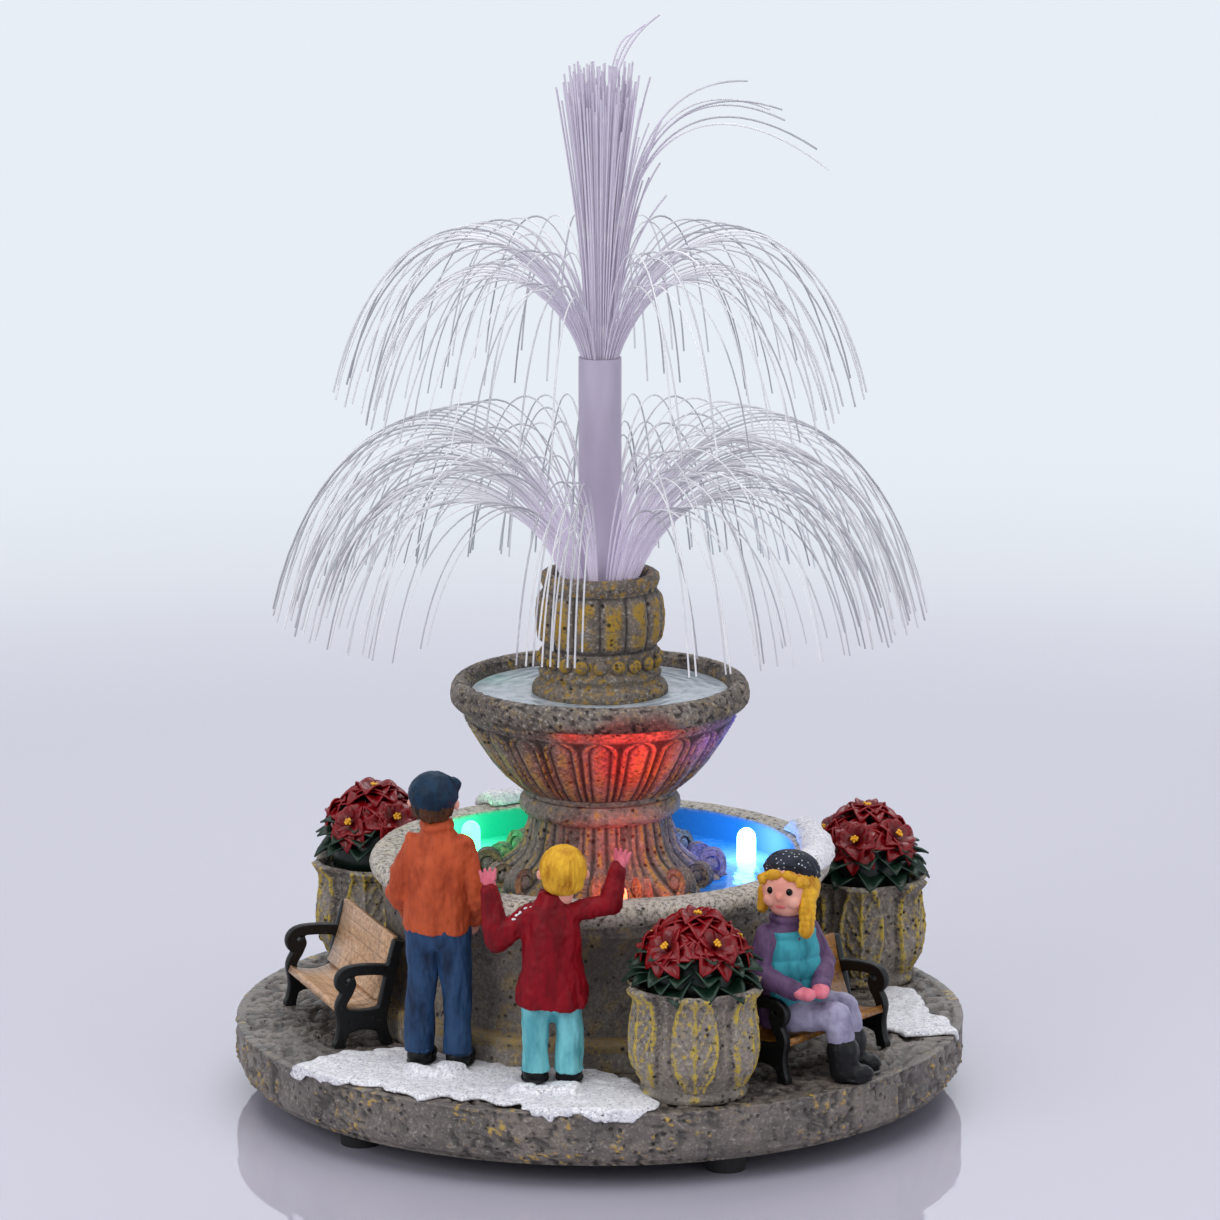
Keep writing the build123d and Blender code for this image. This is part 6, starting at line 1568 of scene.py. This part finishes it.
# sizes are shares of the body's height, forms of the head are shares of the head
standingSettings = {
    "hand": 0.036,
    "collar": (0.02, (0.058, 0.056, 0.026)),
    "hips": (0.105, 0.07, 0.07),
    "cuff": 0.05,
    "face": [(0, 0, 0, 1, 1.04, 1), (0, 0, -0.95, 0.5, 0.5, 0.5), (0, 1.02, -0.08, 0.13, 0.16, 0.16)],
    "ears": [(1.1, -0.05, -0.12, 0.16, 0.2, 0.22)],
    "eyes": [(0.36, 0.93, 0.06, 0.1, 0.08, 0.1)],
}
adultSettings = {
    **standingSettings,
    "size": 75.5,
    "place": (69.0, -126.0, 78.0, 21.5),
    "paints": ("orange", "navy", "skin"),
    "fingers": False,
    "coat": [(0.46, 0.108, 0.074), (0.48, 0.113, 0.077), (0.51, 0.113, 0.078), (0.6, 0.106, 0.077), (0.7, 0.11, 0.075),
             (0.77, 0.098, 0.062), (0.805, 0.055, 0.047), (0.84, 0.044, 0.042)],
    "legs": [(0.066, 0, 0.04, 0.05), (0.064, 0, 0.16, 0.048), (0.06, 0, 0.26, 0.05), (0.054, 0, 0.38, 0.056),
             (0.05, 0, 0.46, 0.06)],
    "arms": {
        -1: [(-0.088, 0.0, 0.765, 0.036), (-0.134, 0.012, 0.58, 0.042), (-0.112, 0.075, 0.5, 0.034)],
        1: [(0.088, 0.0, 0.765, 0.036), (0.132, 0.012, 0.58, 0.042), (0.108, 0.05, 0.5, 0.034)],
    },
    "head": (0.905, 0.07, 0.078),
    "headShift": -0.012,
    "shoe": (0.15, 0.09, 0.07),
    "hair": [(0, -0.16, -0.12, 1.04, 0.98, 0.86)],
    "cap": [(0, -0.1, 0.3, 1.2, 1.22, 0.98), (0.86, 0.3, 0.62, 0.4, 0.42, 0.36)],
}
childSettings = {
    **standingSettings,
    "size": 61.0,
    "place": (71.9, -99.5, 92.0, 21.5),
    "paints": ("crimson", "aqua", "pink"),
    "fingers": True,
    "coat": [(0.322, 0.15, 0.104), (0.34, 0.154, 0.106), (0.4, 0.146, 0.103), (0.5, 0.128, 0.096), (0.64, 0.12, 0.09),
             (0.725, 0.113, 0.075), (0.765, 0.07, 0.06), (0.8, 0.05, 0.05)],
    "legs": [(0.07, 0, 0.04, 0.06), (0.07, 0, 0.1, 0.058), (0.068, 0, 0.18, 0.058), (0.064, 0, 0.28, 0.062),
             (0.062, 0, 0.36, 0.064)],
    "arms": {
        -1: [(-0.09, 0.0, 0.715, 0.042), (-0.225, 0.03, 0.585, 0.05), (-0.25, 0.06, 0.79, 0.042)],
        1: [(0.09, 0.0, 0.715, 0.042), (0.235, 0.025, 0.735, 0.05), (0.27, 0.05, 0.87, 0.042)],
    },
    "head": (0.885, 0.086, 0.1),
    "headShift": 0.045,
    "shoe": (0.19, 0.11, 0.085),
    "hair": [(0, -0.1, 0.12, 1.12, 1.08, 1.02), (0, -0.3, -0.45, 0.95, 0.7, 0.5)],
    "frost": 14,
}


def adultCovering(settings, head):
    z, x, h = head
    hair = headForm(head, settings["hair"], skin=(0.3, 2))
    for vert in hair.verts:
        vert.co.y = min(vert.co.y, x * 0.35)
    crease(hair, 0.5, 0.9, (1, 1, 0.2), 5.0)
    cap = headForm(head, settings["cap"], skin=(0.34, 3))
    for vert in cap.verts:
        if vert.co.z < z + h * 0.3:
            vert.co.y = min(vert.co.y, x * 0.1)
    crease(cap, 0.22, 0.5, (1, 1, 1), 8.0)
    return [("Hair", hair, "brownHair"), ("Cap", cap, "cap")]


def childCovering(settings, head):
    z, x, h = head
    hair = headForm(head, settings["hair"], skin=(0.3, 1))
    for vert in hair.verts:
        turn = math.atan2(vert.co.y, vert.co.x)
        wave = math.sin(turn * 26 + roundNoise(vert.co, 0.3) * 4)
        vert.co += outward(vert.co) * (0.22 * wave - 0.05)
        if vert.co.z < z + h * 0.45:
            vert.co.y = min(vert.co.y, x * 0.55)
    # snow caught on one shoulder
    frost = bmesh.new()
    dice = random.Random(3)
    for index in range(settings["frost"]):
        share = index / (settings["frost"] - 1)
        spot = Vector((-5.0 - 6.6 * share, -1.3 + 0.6 * share, 45.2 - 5.6 * share ** 1.4))
        spot += Vector((dice.uniform(-0.4, 0.4), 0, dice.uniform(-0.3, 0.4)))
        size = dice.uniform(0.2, 0.44)
        addBall(frost, spot, (size * 1.3, size, size))
    return [("Hair", hair, "goldHair"), ("Frost", meldMesh(frost, 0.2, 1), "frost")]


def makeStanding(name, settings, covering):
    size = settings["size"]
    coat, hands, legs, shoes = [bmesh.new() for _ in range(4)]
    addStack(coat, size, settings["coat"])
    length, width, height = [size * c for c in settings["shoe"]]
    for side, arm in settings["arms"].items():
        points = bodyLimb(coat, size, arm)
        reach = Vector(points[-1]) - Vector(points[-2])
        addHand(hands, points[-1], reach, size * settings["hand"], side, settings["fingers"])
        bodyLimb(legs, size, settings["legs"], side)
        ankle = side * size * settings["legs"][0][0]
        addShoe(shoes, ankle, (length - width) / 2, length * 1.1, width * 1.04, height)
    sink, collar = settings["collar"]
    addBall(coat, (0, 0, size * (settings["coat"][-1][0] - sink)), [size * c for c in collar])
    coat = meldMesh(coat, 0.42, 2)
    crease(coat, 0.85, 0.16, seed=size)
    crease(coat, 0.3, 0.45, (1, 1, 0.7), size + 9)
    hands = meldMesh(hands, 0.24, 2)
    addBall(legs, (0, 0, size * settings["legs"][-1][2]), [size * c for c in settings["hips"]])
    legs = meldMesh(legs, 0.42, 3)
    flatBelow(legs, size * settings["cuff"])
    crease(legs, 0.8, 0.2, (1, 1, 0.35), size + 3)
    shoes = meldMesh(shoes, 0.3, 2)
    flatBelow(shoes, 0.0)
    head = [size * c for c in settings["head"]]
    onHead = [
        ("Face", headForm(head, settings["face"], settings["ears"], skin=(0.3, 2)), "skin"),
        ("Eyes", headForm(head, [], settings["eyes"]), "eye"),
    ]
    onHead += covering(settings, head)
    for part, bm, _ in onHead:
        if part != "Frost":
            bmesh.ops.translate(bm, verts=bm.verts, vec=(size * settings["headShift"], 0, 0))
    coatPaint, legPaint, handPaint = settings["paints"]
    onBody = [
        ("Coat", coat, coatPaint), ("Legs", legs, legPaint), ("Hands", hands, handPaint), ("Shoes", shoes, "black"),
    ]
    parts = [(name + part, bm, paint) for part, bm, paint in onBody + onHead]
    finishFigure(parts, standAt(*settings["place"]), name + "_figure", name + "Coat")


makeStanding("adult", adultSettings, adultCovering)
makeStanding("child", childSettings, childCovering)

seatedSettings = {
    "size": 45.5,
    "offset": (12.8, 0.9, 12.0),
    "lift": 1.0,
    "twist": -22.0,
    "legTurn": 25.0,
    "headTurn": -76.0,
    "coat": [(0.0, 0.18, 0.125), (0.06, 0.198, 0.134), (0.12, 0.2, 0.135), (0.3, 0.18, 0.125), (0.45, 0.188, 0.12),
             (0.54, 0.168, 0.1), (0.595, 0.085, 0.078), (0.615, 0.07, 0.07)],
    "collar": (0.6, (0.115, 0.105, 0.05)),
    "thigh": [(0.095, 0.04, 0.092, 0.092), (0.105, 0.29, 0.1, 0.08)],
    "shin": [(0.105, 0.28, 0.1, 0.084), (0.105, 0.31, 0.04, 0.08), (0.111, 0.33, -0.1, 0.07)],
    "boot": [(0.111, 0.33, -0.085, 0.092), (0.111, 0.335, -0.2, 0.078)],
    "arm": [(0.14, -0.01, 0.52, 0.058), (0.215, 0.02, 0.32, 0.066), (0.085, 0.2, 0.235, 0.055)],
    "hand": 0.06,
    "shoe": (0.23, 0.125, 0.13),
    "sole": (-11.9, -11.95),
    "head": (0.765, 0.15, 0.155),
    "face": [(0, 0, 0, 1, 1, 1), (0, 0.12, -0.5, 0.72, 0.74, 0.52), (0, 0, -0.95, 0.5, 0.5, 0.5),
             (0, 1.0, -0.12, 0.12, 0.14, 0.15)],
    "cheeks": [(0.42, 0.7, -0.3, 0.3, 0.24, 0.26)],
    "eyes": [(0.37, 0.9, 0.08, 0.13, 0.09, 0.13)],
    "mouth": [(0, 0.86, -0.5, 0.2, 0.1, 0.05)],
    "hair": [(0, -0.16, 0.05, 1.1, 0.98, 1.0)],
    "fringe": [(0.68, 0.56, 0.4, 0.34, 0.28, 0.24), (0.3, 0.72, 0.6, 0.34, 0.22, 0.2)],
    "locks": 7,
    "hat": [(0, -0.3, 0.6, 1.04, 0.98, 0.72), (0, -0.28, 0.56, 1.09, 1.03, 0.17)],
    "hatTip": 26,
}


def seatedHair(settings, head):
    # a cap of hair with a long lock on one side and a short one on the other
    z, x, h = head
    locks = []
    for index in range(settings["locks"]):
        share = index / (settings["locks"] - 1)
        locks.append((-(0.9 + 0.06 * share), 0.36 + 0.3 * share, -(0.05 + 1.25 * share),
                      0.34 * (1 - 0.15 * share), 0.3, 0.28))
        locks.append((0.9 + 0.02 * share, 0.3, -(0.05 + 0.68 * share), 0.2, 0.24, 0.2))
    hair = headForm(head, settings["hair"] + locks, settings["fringe"], skin=(0.28, 1))
    for vert in hair.verts:
        if abs(vert.co.x) < x * 0.62 and vert.co.z < z + h * 0.42:
            vert.co.y = min(vert.co.y, x * 0.5)
    crease(hair, 0.35, 0.8, (1, 1, 0.3), 41.0)
    return hair


def seatedVest(settings, size):
    # a quilted vest over the coat, drawn in under the arms
    vest = bmesh.new()
    addStack(vest, size, [(z, x * 1.04, y * 1.08) for z, x, y in settings["coat"][1:6]])
    vest = meldMesh(vest, 0.36, 1)
    for vert in vest.verts:
        level = vert.co.z / size
        quilt = abs(math.sin((level - 0.04) / 0.115 * math.pi)) ** 0.6
        seam = ridge(vert.co.x, 0.0, 0.6) if vert.co.y > 0 else 0.0
        vert.co += outward(vert.co) * (0.7 * quilt - 0.6 * seam - 0.1)
        wide = size * (0.15 - 0.03 * smoothStep(level, 0.35, 0.5))
        if abs(vert.co.x) > wide:
            vert.co.x = math.copysign(wide + (abs(vert.co.x) - wide) * 0.25, vert.co.x)
    return vest


def makeSeated(settings):
    size = settings["size"]
    seat = standAt(*benchPlaces["right"]) @ Matrix.Translation(settings["offset"])
    raised = seat @ Matrix.Translation((0, 0, settings["lift"]))
    coat, legs, boots, hands = [bmesh.new() for _ in range(4)]
    addStack(coat, size, settings["coat"])
    length, width, height = [size * c for c in settings["shoe"]]
    sole, lowest = settings["sole"]
    heelX, heelY = settings["boot"][0][:2]
    for side in (-1, 1):
        points = bodyLimb(coat, size, settings["arm"], side)
        addHand(hands, points[-1], Vector((-side * 0.5, 0.75, -0.1)), size * settings["hand"], side, False)
        for limb, key in ((legs, "thigh"), (legs, "shin"), (boots, "boot")):
            bodyLimb(limb, size, settings[key], side)
        addShoe(boots, side * size * heelX, size * heelY + (length - width) / 2, length, width, height, sole)
    collarHeight, collar = settings["collar"]
    addBall(coat, (0, 0, size * collarHeight), [size * c for c in collar])
    coat = meldMesh(coat, 0.36, 2)
    crease(coat, 0.4, 0.28, seed=21.0)
    legs = meldMesh(legs, 0.36, 3)
    crease(legs, 0.4, 0.3, (1, 1, 1), 31.0)
    boots = meldMesh(boots, 0.34, 2)
    crease(boots, 0.2, 0.4, (1, 1, 1), 37.0)
    flatBelow(boots, lowest)
    head = [size * c for c in settings["head"]]
    hat = headForm(head, settings["hat"], turn=turned(settings["hatTip"], "X"), skin=(0.32, 1))
    for vert in hat.verts:
        vert.co += outward(vert.co) * 0.16 * math.sin(math.atan2(vert.co.y, vert.co.x) * 22)
    sets = [
        (raised @ turned(settings["twist"]), [
            ("seatedCoat", coat, "purple"),
            ("seatedVest", seatedVest(settings, size), "teal"),
            ("seatedMittens", meldMesh(hands, 0.28, 2), "pink"),
        ]),
        (seat @ turned(settings["legTurn"]), [("seatedLegs", legs, "lilac"), ("seatedBoots", boots, "black")]),
        (raised @ turned(settings["headTurn"]), [
            ("seatedFace", headForm(head, settings["face"], settings["cheeks"], skin=(0.26, 2)), "skin"),
            ("seatedEyes", headForm(head, [], settings["eyes"]), "eye"),
            ("seatedMouth", headForm(head, settings["mouth"]), "lip"),
            ("seatedHair", seatedHair(settings, head), "goldHair"),
            ("seatedHat", hat, "beanie"),
        ]),
    ]
    for placing, parts in sets:
        finishFigure(parts, placing, "seated_figure", "seatedCoat")


makeSeated(seatedSettings)
print("figures made")
